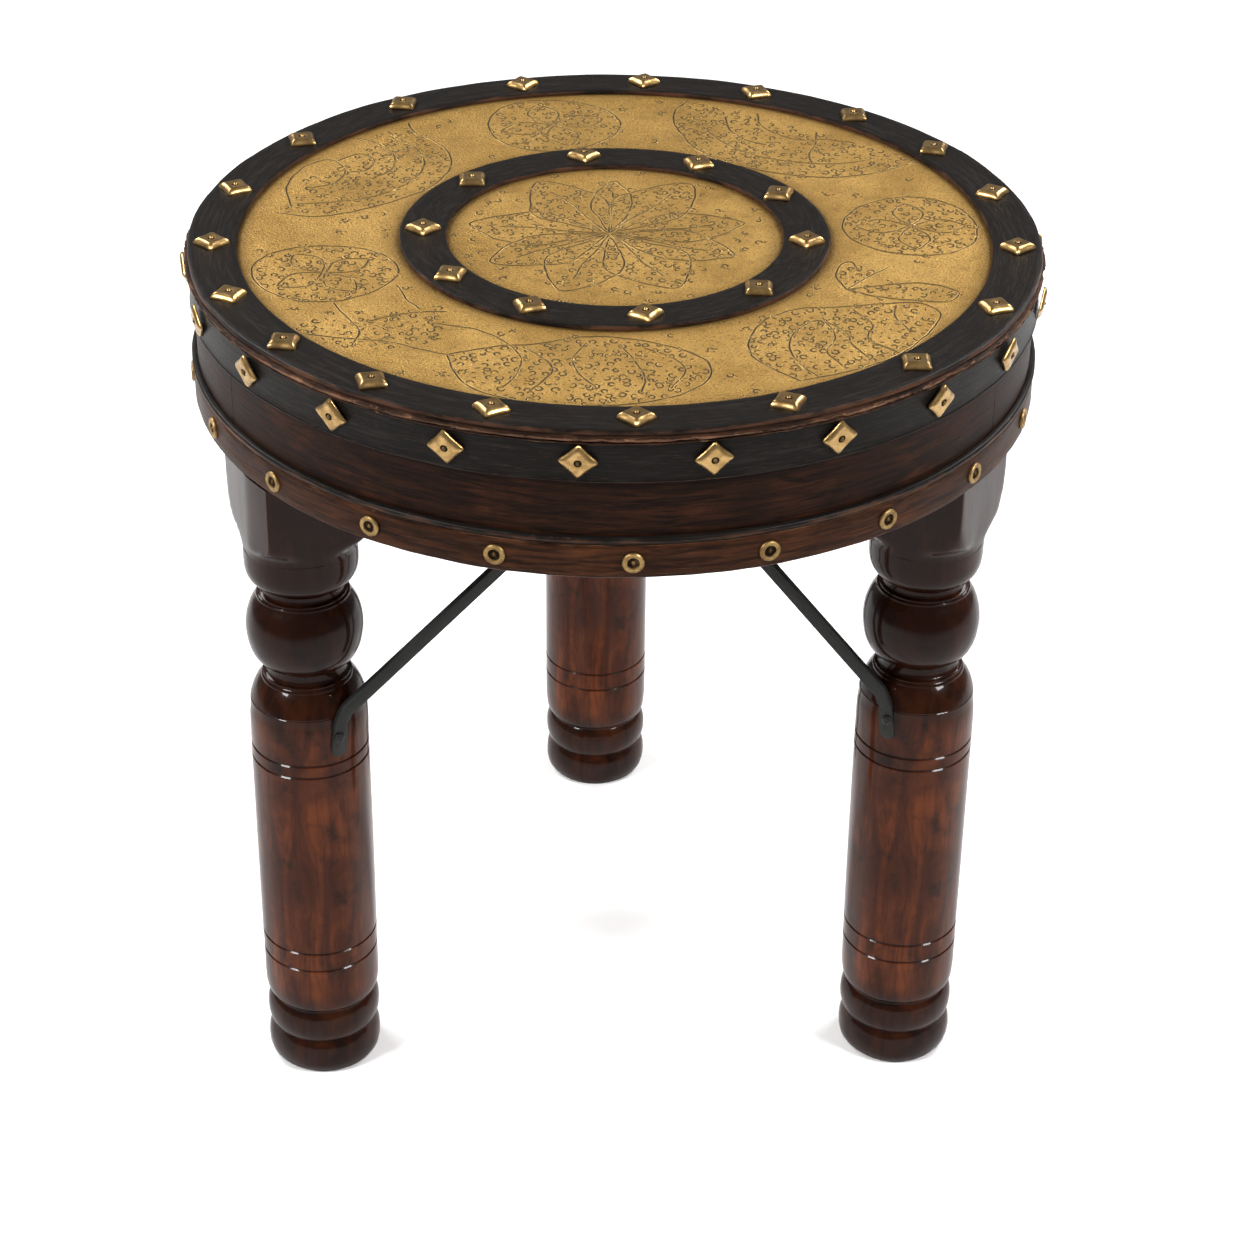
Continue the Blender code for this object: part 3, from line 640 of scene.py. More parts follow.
def turned(profile: Sequence[Point], steps: int, closed: bool = False, sweep: float = 360.0,
           start: float = 0.0) -> Shape:
    """Spin a (radius, height) profile about the axis.

    Args:
        profile: Points of the profile; an open one starts and ends on the axis.
        steps: Facets round the sweep.
        closed: Join the last point to the first.
        sweep: Angle to turn through, in degrees.
        start: Angle of the first section, in degrees.

    Returns:
        The closed mesh, with its faces outward.
    """
    bm = bmesh.new()
    verts = [bm.verts.new(polar(radius, start, z)) for radius, z in profile]
    edges = [bm.edges.new(pair) for pair in zip(verts, verts[1:])]
    if closed:
        edges.append(bm.edges.new((verts[-1], verts[0])))
    full = sweep > 359.9
    bmesh.ops.spin(bm, geom=verts + edges, cent=(0, 0, 0), axis=(0, 0, 1), dvec=(0, 0, 0),
                   angle=math.radians(sweep), steps=steps, use_merge=full, use_duplicate=False)
    bmesh.ops.remove_doubles(bm, verts=bm.verts, dist=1e-6)
    if not full:
        bmesh.ops.holes_fill(bm, edges=[e for e in bm.edges if e.is_boundary], sides=0)
    bmesh.ops.recalc_face_normals(bm, faces=bm.faces)
    return bm


def paint(bm: Shape, name: str, value: Shade) -> None:
    """Store a number on every vertex.

    Args:
        bm: Mesh to mark.
        name: Name of the attribute.
        value: Gives the number for a point.
    """
    layer = bm.verts.layers.float.new(name)
    for vert in bm.verts:
        vert[layer] = min(1.0, max(0.0, value(vert.co)))


def rugged(bm: Shape, sizes: Sequence[tuple[float, float]], seed: float,
           where: Shade | None = None) -> None:
    """Push vertices along their normals by layered noise.

    Args:
        bm: Mesh to roughen.
        sizes: (frequency per metre, height in metres) of each layer.
        seed: Offset that picks another part of the noise.
        where: Share of the push at a point; everywhere when left out.
    """
    bm.normal_update()
    shift = Vector((seed, -seed, seed * 0.5))
    moves = []
    for vert in bm.verts:
        share = 1.0 if where is None else where(vert.co)
        push = sum(height * noise.noise(vert.co * frequency + shift) for frequency, height in sizes)
        moves.append(vert.normal * (push * share))
    for vert, move in zip(bm.verts, moves):
        vert.co += move


def splinter(bm: Shape, depth: float, where: Shade) -> None:
    """Break the edges of a ring into long chips that follow it.

    Args:
        bm: Ring to chip.
        depth: Depth of the deepest chip.
        where: Share of the depth at a point, 0 to 1.
    """
    for vert in bm.verts:
        angle = math.atan2(vert.co.y, vert.co.x)
        radius = math.hypot(vert.co.x, vert.co.y)
        x, y = math.cos(angle), math.sin(angle)
        spot = Vector((x * LONG_CHIP[0], y * LONG_CHIP[0], vert.co.z * LONG_CHIP[1]))
        fine = Vector((x * FINE_CHIP[0], y * FINE_CHIP[0], vert.co.z * FINE_CHIP[1]))
        chip = max(0.0, noise.noise(spot) + 0.6 * noise.noise(fine) - 0.05)
        share = max(0.0, min(1.0, where(vert.co)))
        vert.co.xy *= 1.0 - depth * share * min(1.4, 2.2 * chip) / radius
        vert.co.z += 0.25 * depth * share * noise.noise(fine * 0.7)


def cleaned_copy(node: str) -> Shape:
    """Return a CAD node's mesh with its points merged and its flat faces whole.

    Args:
        node: Name of the node.

    Returns:
        The copy.
    """
    bm = bmesh.new()
    bm.from_mesh(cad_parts[node].data)
    bmesh.ops.remove_doubles(bm, verts=bm.verts, dist=1e-5)
    bmesh.ops.dissolve_limit(bm, angle_limit=math.radians(2.0), verts=bm.verts, edges=bm.edges)
    bmesh.ops.recalc_face_normals(bm, faces=bm.faces)
    return bm


def round_edges(bm: Shape, width: float, angle: float = 30.0, segments: int = 2) -> None:
    """Bevel every edge sharper than an angle.

    Args:
        bm: Mesh to round.
        width: Width of the bevel.
        angle: Smallest angle to bevel, in degrees.
        segments: Steps across the bevel.
    """
    edges = [e for e in bm.edges if len(e.link_faces) == 2 and e.calc_face_angle() > math.radians(angle)]
    bmesh.ops.bevel(bm, geom=edges, offset=width, offset_type="OFFSET", segments=segments, profile=0.5,
                    affect="EDGES", clamp_overlap=True, material=-1)


def smooth_path(points: Sequence[Point], step: float, closed: bool = False) -> list[Point]:
    """Run a smooth curve through points and space it evenly.

    Args:
        points: Points that the curve passes through.
        step: Distance between the returned points.
        closed: Join the end to the start.

    Returns:
        Points along the curve.
    """
    n = len(points)
    dense: list[Point] = []
    pieces = 12
    for i in range(n if closed else n - 1):
        quad = []
        for k in (i - 1, i, i + 1, i + 2):
            quad.append(points[k % n] if closed else points[min(max(k, 0), n - 1)])
        p0, p1, p2, p3 = quad
        for j in range(pieces):
            t = j / pieces
            out = []
            for a, b, c, d in zip(p0, p1, p2, p3):
                out.append(0.5 * (2 * b + (c - a) * t + (2 * a - 5 * b + 4 * c - d) * t * t
                                  + (3 * b - a - 3 * c + d) * t ** 3))
            dense.append((out[0], out[1]))
    dense.append(points[0] if closed else points[-1])
    result = [dense[0]]
    carried = 0.0
    for a, b in zip(dense, dense[1:]):
        length = math.dist(a, b)
        while length > 0 and carried + length >= step:
            t = (step - carried) / length
            a = (a[0] + (b[0] - a[0]) * t, a[1] + (b[1] - a[1]) * t)
            result.append(a)
            length = math.dist(a, b)
            carried = 0.0
        carried += length
    return result


def inside(point: Point, outline: Sequence[Point]) -> bool:
    """Tell whether a point lies inside a closed outline.

    Args:
        point: The point.
        outline: The outline's points in order.

    Returns:
        True inside.
    """
    x, y = point
    hit = False
    for (x1, y1), (x2, y2) in zip(outline, list(outline[1:]) + [outline[0]]):
        if (y1 > y) != (y2 > y) and x < (x2 - x1) * (y - y1) / (y2 - y1) + x1:
            hit = not hit
    return hit


# --------------------------------------------------------------------------- engraving


@dataclass
class Engraver:
    """Cuts strokes into one sheet of brass: each is a low ridge with a dark groove."""

    name: str
    surface: float
    seed: int
    strokes: dict[Stroke, list[tuple[list[Point], float]]] = field(default_factory=dict)
    widths: dict[Stroke, Triple] = field(default_factory=lambda: {
        Stroke.LINE: (1.20, 0.90, 0.58), Stroke.PUNCH: (1.10, 0.82, 0.52), Stroke.DOT: (1.15, 0.86, 0.58)})
    heights: Triple = (-0.05, 0.18, 0.03)
    step: float = 0.0016
    waver: float = 90.0
    taper: float = 0.45
    crescent_size: Point = (0.0018, 0.0027)
    dash_length: Point = (0.0018, 0.0036)
    flower_size: Point = (0.0017, 0.0024)
    flower_reach: Point = (0.0032, 0.0048)
    flower_dash: float = 0.0020

    def __post_init__(self) -> None:
        """Seed the hand that places the marks."""
        self.hand = random.Random(self.seed)
        self.strokes = {kind: [] for kind in Stroke}

    def section(self, kind: Stroke) -> list[Point]:
        """Give the section of a cut: a bed between two raised burrs.

        Args:
            kind: Kind of stroke.

        Returns:
            Its points from left to right, in millimetres.
        """
        half = list(zip(self.widths[kind], self.heights))
        return [(-x, z) for x, z in half] + [(x, z) for x, z in reversed(half)]

    def line(self, points: Sequence[Point], width: float = 1.0, closed: bool = False,
             shake: float = 0.0005) -> None:
        """Cut a long line through points, with the small waver of a hand tool.

        Args:
            points: Points that the line passes through, in metres.
            width: Width of the cut, as a share of the usual one.
            closed: Join the end to the start.
            shake: How far the line wanders, in metres.
        """
        path = smooth_path(points, self.step, closed)
        offset = self.hand.uniform(0.0, 40.0)
        cut = []
        for x, y in path:
            sway = noise.noise_vector(Vector((x * self.waver + offset, y * self.waver, offset)))
            cut.append((x + sway.x * shake * 2.0, y + sway.y * shake * 2.0))
        self.strokes[Stroke.LINE].append((cut, width))

    def punch(self, centre: Point, size: float, turn: float, sweep: float = 230.0) -> None:
        """Strike one crescent mark.

        Args:
            centre: Middle of the crescent, in metres.
            size: Radius of the crescent, in metres.
            turn: Angle of its start, in radians.
            sweep: How far it goes round, in degrees.
        """
        steps = 5
        arc = []
        for i in range(steps + 1):
            a = turn + math.radians(sweep) * i / steps
            arc.append((centre[0] + size * math.cos(a), centre[1] + size * 1.15 * math.sin(a)))
        self.strokes[Stroke.PUNCH].append((arc, 1.0))

    def dot(self, centre: Point, length: float, turn: float) -> None:
        """Strike one short dash.

        Args:
            centre: Its middle, in metres.
            length: Its length, in metres.
            turn: Its direction, in radians.
        """
        dx = 0.5 * length * math.cos(turn)
        dy = 0.5 * length * math.sin(turn)
        dash = [(centre[0] - dx, centre[1] - dy), centre, (centre[0] + dx, centre[1] + dy)]
        self.strokes[Stroke.DOT].append((dash, 1.0))

    def fill(self, outline: Sequence[Point], spacing: float, crescents: float = 0.6) -> None:
        """Cover the inside of an outline with crescents and dashes.

        Args:
            outline: Closed outline, in metres.
            spacing: Usual distance between marks, in metres.
            crescents: Share of the marks that are crescents.
        """
        xs = [p[0] for p in outline]
        ys = [p[1] for p in outline]
        y = min(ys)
        row = 0
        while y < max(ys):
            x = min(xs) + (0.5 * spacing if row % 2 else 0.0)
            while x < max(xs):
                drift = (self.hand.uniform(-0.3, 0.3), self.hand.uniform(-0.3, 0.3))
                spot = (x + drift[0] * spacing, y + drift[1] * spacing)
                turn = self.hand.uniform(0.0, 2.0 * math.pi)
                size = self.hand.uniform(*self.crescent_size)
                draw = self.hand.random()
                if inside(spot, outline):
                    if draw < crescents:
                        self.punch(spot, size, turn, self.hand.uniform(200.0, 330.0))
                    else:
                        self.dot(spot, self.hand.uniform(*self.dash_length), turn)
                x += spacing
            y += spacing * 0.86
            row += 1

    def sprinkle(self, spots: Iterable[Point]) -> None:
        """Strike small flowers, each a crescent with one to three dashes.

        Args:
            spots: Their middles, in metres.
        """
        for spot in spots:
            turn = self.hand.uniform(0.0, 2.0 * math.pi)
            self.punch(spot, self.hand.uniform(*self.flower_size), turn, self.hand.uniform(200.0, 320.0))
            for _ in range(self.hand.randint(1, 3)):
                reach = self.hand.uniform(*self.flower_reach)
                a = self.hand.uniform(0.0, 2.0 * math.pi)
                petal = (spot[0] + reach * math.cos(a), spot[1] + reach * math.sin(a))
                self.dot(petal, self.flower_dash, a)

    def build(self, material: Finish) -> None:
        """Turn the strokes into pieces, one for each kind.

        Args:
            material: Finish of the engraving.
        """
        for kind, strokes in self.strokes.items():
            if not strokes:
                continue
            section = bpy.data.curves.new("section", "CURVE")
            section.dimensions = "2D"
            rim = section.splines.new("POLY")
            shape = self.section(kind)
            rim.points.add(len(shape) - 1)
            for point, (x, z) in zip(rim.points, shape):
                point.co = (x * MILLIMETRE, z * MILLIMETRE, 0.0, 1.0)
            rim.use_cyclic_u = True
            tool = bpy.data.objects.new("section", section)
            curve = bpy.data.curves.new("strokes", "CURVE")
            curve.dimensions = "2D"
            curve.fill_mode = "NONE"
            curve.bevel_mode = "OBJECT"
            curve.bevel_object = tool
            curve.use_fill_caps = True
            for path, width in strokes:
                spline = curve.splines.new("POLY")
                last = len(path) - 1
                spline.points.add(last)
                for i, (point, (x, y)) in enumerate(zip(spline.points, path)):
                    point.co = (x, y, 0.0, 1.0)
                    point.radius = width * (self.taper if i in (0, last) else 1.0)
            holder = bpy.data.objects.new("strokes", curve)
            bpy.context.scene.collection.objects.link(tool)
            bpy.context.scene.collection.objects.link(holder)
            bpy.context.view_layer.update()
            shaped = holder.evaluated_get(bpy.context.evaluated_depsgraph_get())
            mesh = bpy.data.meshes.new_from_object(shaped)
            bm = bmesh.new()
            bm.from_mesh(mesh)
            bmesh.ops.translate(bm, verts=bm.verts, vec=(0.0, 0.0, self.surface))
            bmesh.ops.remove_doubles(bm, verts=bm.verts, dist=1e-7)
            bmesh.ops.recalc_face_normals(bm, faces=bm.faces)
            for extra in (holder, tool):
                bpy.data.objects.remove(extra, do_unlink=True)
            bpy.data.meshes.remove(mesh)
            adopt(self.name + "_" + kind.value + "s", bm, material, sharp=60.0)


@dataclass
class BrassTop:
    """The two engraved sheets between the bands."""

    petals: tuple[Triple, ...] = (
        (120.0, 0.104, 0.030), (57.0, 0.106, 0.030), (88.0, 0.092, 0.016), (12.0, 0.098, 0.026),
        (-22.0, 0.094, 0.026), (-62.0, 0.100, 0.032), (-108.0, 0.100, 0.030), (-148.0, 0.096, 0.026),
        (172.0, 0.100, 0.028),
    )
    petal: tuple[Point, ...] = (
        (0.06, 0.10), (0.26, 0.52), (0.50, 0.98), (0.74, 0.78), (0.92, 0.34), (1.0, 0.0), (0.93, -0.30),
        (0.76, -0.70), (0.52, -0.95), (0.28, -0.58), (0.06, -0.10),
    )
    leaf: tuple[Point, ...] = ((0.04, 0.0), (0.30, 0.20), (0.62, 0.30), (0.90, 0.16), (1.06, 0.0))
    leaf_share: float = 0.78
    fine: float = 0.9
    mark_gap: float = 0.0082
    petal_gap: float = 0.0080
    ring_flowers: int = 120
    ring_span: Point = (0.160, 0.256)
    disc_flowers: int = 64
    disc_span: Point = (0.070, 0.114)

    def dress(self) -> None:
        """Give the sheets their finish and engrave them."""
        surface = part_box("brass_ring_sheet")[1].z
        brass = SheetBrass().material()
        for node in ("brass_ring_sheet", "brass_centre_disc"):
            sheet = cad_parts[node]
            sheet.data.materials.clear()
            sheet.data.materials.append(brass)
        cut = EngravedBrass(surface).material()
        ring = Engraver("ring_engraving", surface, 11)
        self.medallions(ring)
        ring.build(cut)
        disc = Engraver("disc_engraving", surface, 23)
        self.rosette(disc)
        disc.build(cut)

    def roundel(self, cut: Engraver, centre: Point, across: float, tall: float, turn: float) -> None:
        """Engrave an oval medallion with four leaves inside.

        Args:
            cut: Engraver of the sheet.
            centre: Middle of the medallion.
            across: Half of its width.
            tall: Half of its height.
            turn: Angle of the first leaf, in degrees.
        """
        outline = []
        points = 18
        for i in range(points):
            a = 2.0 * math.pi * i / points
            sway = 1.0 + 0.03 * math.sin(3.0 * a + turn)
            outline.append((centre[0] + across * sway * math.cos(a), centre[1] + tall * sway * math.sin(a)))
        cut.line(outline, closed=True)
        cut.fill(outline, self.mark_gap, 0.62)
        for k in range(4):
            a = math.radians(turn + 90.0 * k)
            along = Vector((math.cos(a), math.sin(a)))
            side = Vector((-along.y, along.x))
            reach = self.leaf_share * min(across, tall)
            for sign in (-1.0, 1.0):
                bend = []
                for t, s in self.leaf:
                    x = along.x * t + side.x * s * sign
                    y = along.y * t + side.y * s * sign
                    bend.append((centre[0] + x * reach, centre[1] + y * reach))
                cut.line(bend, self.fine)

    def shell(self, cut: Engraver, outline: Sequence[Point], ribs: Sequence[Sequence[Point]]) -> None:
        """Engrave a large paisley with its inner ribs.

        Args:
            cut: Engraver of the sheet.
            outline: Outer line, open where it runs under a band.
            ribs: Inner lines.
        """
        cut.line(outline)
        cut.fill(outline, self.mark_gap)
        for rib in ribs:
            cut.line(rib, self.fine)

    def medallions(self, cut: Engraver) -> None:
        """Engrave the sheet between the two bands.

        Args:
            cut: Engraver of the sheet.
        """
        self.roundel(cut, (-0.048, 0.2015), 0.050, 0.050, 20.0)
        self.roundel(cut, (0.2103, 0.0217), 0.0476, 0.050, 92.0)
        self.roundel(cut, (-0.1993, -0.0653), 0.050, 0.045, 38.0)
        self.shell(cut, (
            (-0.2436, 0.0356), (-0.215, 0.028), (-0.186, 0.038), (-0.155, 0.060), (-0.133, 0.084),
            (-0.122, 0.115), (-0.123, 0.142), (-0.133, 0.164), (-0.151, 0.184), (-0.158, 0.204),
        ), (
            ((-0.164, 0.071), (-0.147, 0.097), (-0.141, 0.122), (-0.146, 0.148), (-0.164, 0.173),
             (-0.173, 0.186)),
            ((-0.177, 0.097), (-0.164, 0.115), (-0.164, 0.137), (-0.173, 0.155), (-0.186, 0.168),
             (-0.196, 0.172)),
            ((-0.232, 0.044), (-0.238, 0.080), (-0.232, 0.110), (-0.221, 0.126), (-0.210, 0.130),
             (-0.199, 0.112), (-0.204, 0.088), (-0.222, 0.078)),
            ((-0.205, 0.128), (-0.190, 0.142), (-0.178, 0.130), (-0.184, 0.112), (-0.200, 0.108)),
            ((-0.228, 0.050), (-0.200, 0.054), (-0.172, 0.066), (-0.158, 0.080)),
        ))
        self.shell(cut, (
            (0.056, 0.252), (0.0454, 0.2325), (0.0443, 0.210), (0.050, 0.184), (0.060, 0.159),
            (0.0775, 0.137), (0.104, 0.120), (0.133, 0.110), (0.159, 0.1074), (0.188, 0.115),
            (0.210, 0.128), (0.226, 0.1395),
        ), (
            ((0.066, 0.200), (0.080, 0.172), (0.100, 0.150), (0.128, 0.136), (0.160, 0.132), (0.192, 0.142)),
            ((0.108, 0.228), (0.110, 0.206), (0.120, 0.190), (0.136, 0.178), (0.160, 0.178), (0.180, 0.172)),
            ((0.152, 0.192), (0.150, 0.170), (0.144, 0.150), (0.146, 0.130)),
            ((0.084, 0.222), (0.086, 0.196), (0.098, 0.176), (0.114, 0.166)),
        ))
        self.shell(cut, (
            (-0.1085, -0.188), (-0.102, -0.216), (-0.088, -0.238), (-0.064, -0.252), (-0.036, -0.258),
            (0.000, -0.258), (0.030, -0.250), (0.052, -0.234), (0.063, -0.214), (0.060, -0.194),
            (0.044, -0.178), (0.018, -0.165), (-0.010, -0.160), (-0.030, -0.163), (-0.050, -0.172),
            (-0.076, -0.176), (-0.1085, -0.188),
        ), (
            ((-0.119, -0.142), (-0.090, -0.152), (-0.070, -0.172), (-0.060, -0.196), (-0.064, -0.220),
             (-0.072, -0.236)),
            ((-0.018, -0.170), (-0.026, -0.190), (-0.024, -0.210), (-0.010, -0.236)),
            ((0.004, -0.172), (0.012, -0.192), (0.020, -0.216), (0.018, -0.240)),
            ((0.020, -0.176), (0.038, -0.190), (0.046, -0.210), (0.036, -0.234)),
            ((-0.060, -0.176), (-0.044, -0.196), (-0.040, -0.214), (-0.054, -0.240)),
        ))
        self.shell(cut, (
            (0.1207, -0.221), (0.0974, -0.199), (0.0886, -0.179), (0.091, -0.155), (0.102, -0.131),
            (0.124, -0.115), (0.150, -0.112), (0.180, -0.106), (0.206, -0.104), (0.219, -0.120),
            (0.212, -0.142), (0.206, -0.155), (0.188, -0.181), (0.155, -0.206), (0.1207, -0.221),
        ), (
            ((0.133, -0.216), (0.120, -0.195), (0.115, -0.168), (0.124, -0.144), (0.137, -0.133),
             (0.153, -0.150), (0.157, -0.168), (0.168, -0.190)),
            ((0.139, -0.128), (0.146, -0.156), (0.140, -0.180), (0.152, -0.204)),
            ((0.160, -0.115), (0.172, -0.138), (0.168, -0.160), (0.186, -0.178)),
            ((0.190, -0.108), (0.188, -0.126), (0.198, -0.150)),
        ))
        bud = ((0.158, -0.084), (0.188, -0.076), (0.2125, -0.073), (0.234, -0.085), (0.226, -0.101),
               (0.200, -0.100), (0.176, -0.094), (0.158, -0.084))
        self.shell(cut, bud, ())
        cut.line(((0.158, -0.084), (0.152, -0.062), (0.157, -0.044), (0.164, -0.040), (0.168, -0.052)))
        cut.line(((0.158, -0.084), (0.172, -0.066), (0.190, -0.047)))
        stalk = ((0.154, -0.080), (0.156, -0.046), (0.166, -0.044), (0.176, -0.060), (0.164, -0.078))
        cut.fill(stalk, 0.0080)
        spray = ((-0.212, -0.146), (-0.190, -0.134), (-0.166, -0.132), (-0.140, -0.124), (-0.116, -0.126),
                 (-0.110, -0.142), (-0.118, -0.168), (-0.140, -0.182), (-0.166, -0.186), (-0.186, -0.176),
                 (-0.206, -0.160))
        cut.fill(spray, 0.0078)
        cut.line(((-0.189, -0.113), (-0.178, -0.136), (-0.168, -0.155), (-0.172, -0.178)))
        cut.line(((-0.166, -0.142), (-0.150, -0.132), (-0.132, -0.126), (-0.112, -0.125)))
        cut.line(((-0.148, -0.084), (-0.140, -0.106), (-0.130, -0.122)))
        cut.line(((-0.206, -0.160), (-0.180, -0.166), (-0.150, -0.170), (-0.126, -0.182), (-0.104, -0.190)))
        self.flowers(cut, self.ring_flowers, self.ring_span, 3.0)

    def flowers(self, cut: Engraver, count: int, span: Point, wander: float) -> None:
        """Strew small flowers round a sheet.

        Args:
            cut: Engraver of the sheet.
            count: How many flowers.
            span: Smallest and largest distance from the table's axis.
            wander: How far each strays from its even place, in degrees.
        """
        pitch = 360.0 / count
        spots = []
        for i in range(count):
            spot = polar(cut.hand.uniform(*span), pitch * i + cut.hand.uniform(-wander, wander))
            spots.append((spot.x, spot.y))
        cut.sprinkle(spots)

    def rosette(self, cut: Engraver) -> None:
        """Engrave the flower of long leaves on the centre disc.

        Args:
            cut: Engraver of the sheet.
        """
        heart = Vector((-0.004, 0.004))
        for turn, reach, half in self.petals:
            along = Vector((math.cos(math.radians(turn)), math.sin(math.radians(turn))))
            side = Vector((-along.y, along.x))
            outline = []
            for t, s in self.petal:
                spot = heart + along * (t * reach) + side * (s * half * (0.9 + 0.2 * cut.hand.random()))
                outline.append((spot.x, spot.y))
            cut.line(outline)
            cut.fill(outline, self.petal_gap, 0.5)
            rib = []
            for t in (0.02, 0.3, 0.55, 0.8):
                spot = heart + along * (t * reach) + side * (0.05 * half * math.sin(9.0 * t))
                rib.append((spot.x, spot.y))
            cut.line(rib, self.fine)
        self.flowers(cut, self.disc_flowers, self.disc_span, 5.0)


# --------------------------------------------------------------------------- bands and drum


@dataclass
class Bands:
    """The two dark bands nailed down on the brass."""

    steps: int = 320
    round_over: float = 0.0011
    outer_width: float = 0.0350
    inner_width: float = 0.0330
    crown_steps: int = 7
    hollow: float = 0.00012
    worn_edge: float = 0.0022
    ragged_reach: float = 0.006

    def ring(self, node: str, width: float, seed: float, ragged: float) -> None:
        """Make one band in place of its CAD node.

        Args:
            node: Name of the node.
            width: Width of the band.
            seed: Picks the unevenness.
            ragged: Height of the unevenness along the outer edge.
        """
        low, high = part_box(node)
        outer = high.x
        inner = outer - width
        top, bottom, r = high.z, low.z, self.round_over
        section = [(inner, bottom), (outer, bottom), (outer, top - r * 1.2)]
        section += [(outer - r * 0.35, top - r * 0.4), (outer - r * 1.3, top)]
        for k in range(1, self.crown_steps):
            dip = self.hollow * math.sin(math.pi * k / self.crown_steps)
            section.append((outer - (outer - inner) * k / self.crown_steps, top - dip))
        section += [(inner + r * 1.3, top), (inner + r * 0.35, top - r * 0.4), (inner, top - r * 1.2)]
        bm = turned(section, self.steps, closed=True)

        def edge(point: Vector) -> float:
            """Wear, strongest on the two edges."""
            radius = math.hypot(point.x, point.y)
            return 1.0 - min(outer - radius, radius - inner) / self.worn_edge

        paint(bm, "wear", edge)
        for vert in bm.verts:
            radius = math.hypot(vert.co.x, vert.co.y)
            share = max(0.0, min(1.0, (radius - (outer - self.ragged_reach)) / self.ragged_reach))
            spot = vert.co.normalized() * 11.0
            dent = noise.noise(spot + Vector((seed, 0.0, 0.0))) + 0.5 * noise.noise(spot * 3.1)
            pull = ragged * share * (dent - 0.35)
            vert.co.xy *= 1.0 + pull / radius
        rugged(bm, ((60.0, 0.00018), (240.0, 0.00008)), seed)
        adopt(node + "_finished", bm, EbonisedWood().material(), (node,))

    def dress(self) -> None:
        """Make both bands."""
        self.ring("outer_top_band", self.outer_width, 3.0, 0.0011)
        self.ring("inner_top_ring", self.inner_width, 8.0, 0.0004)


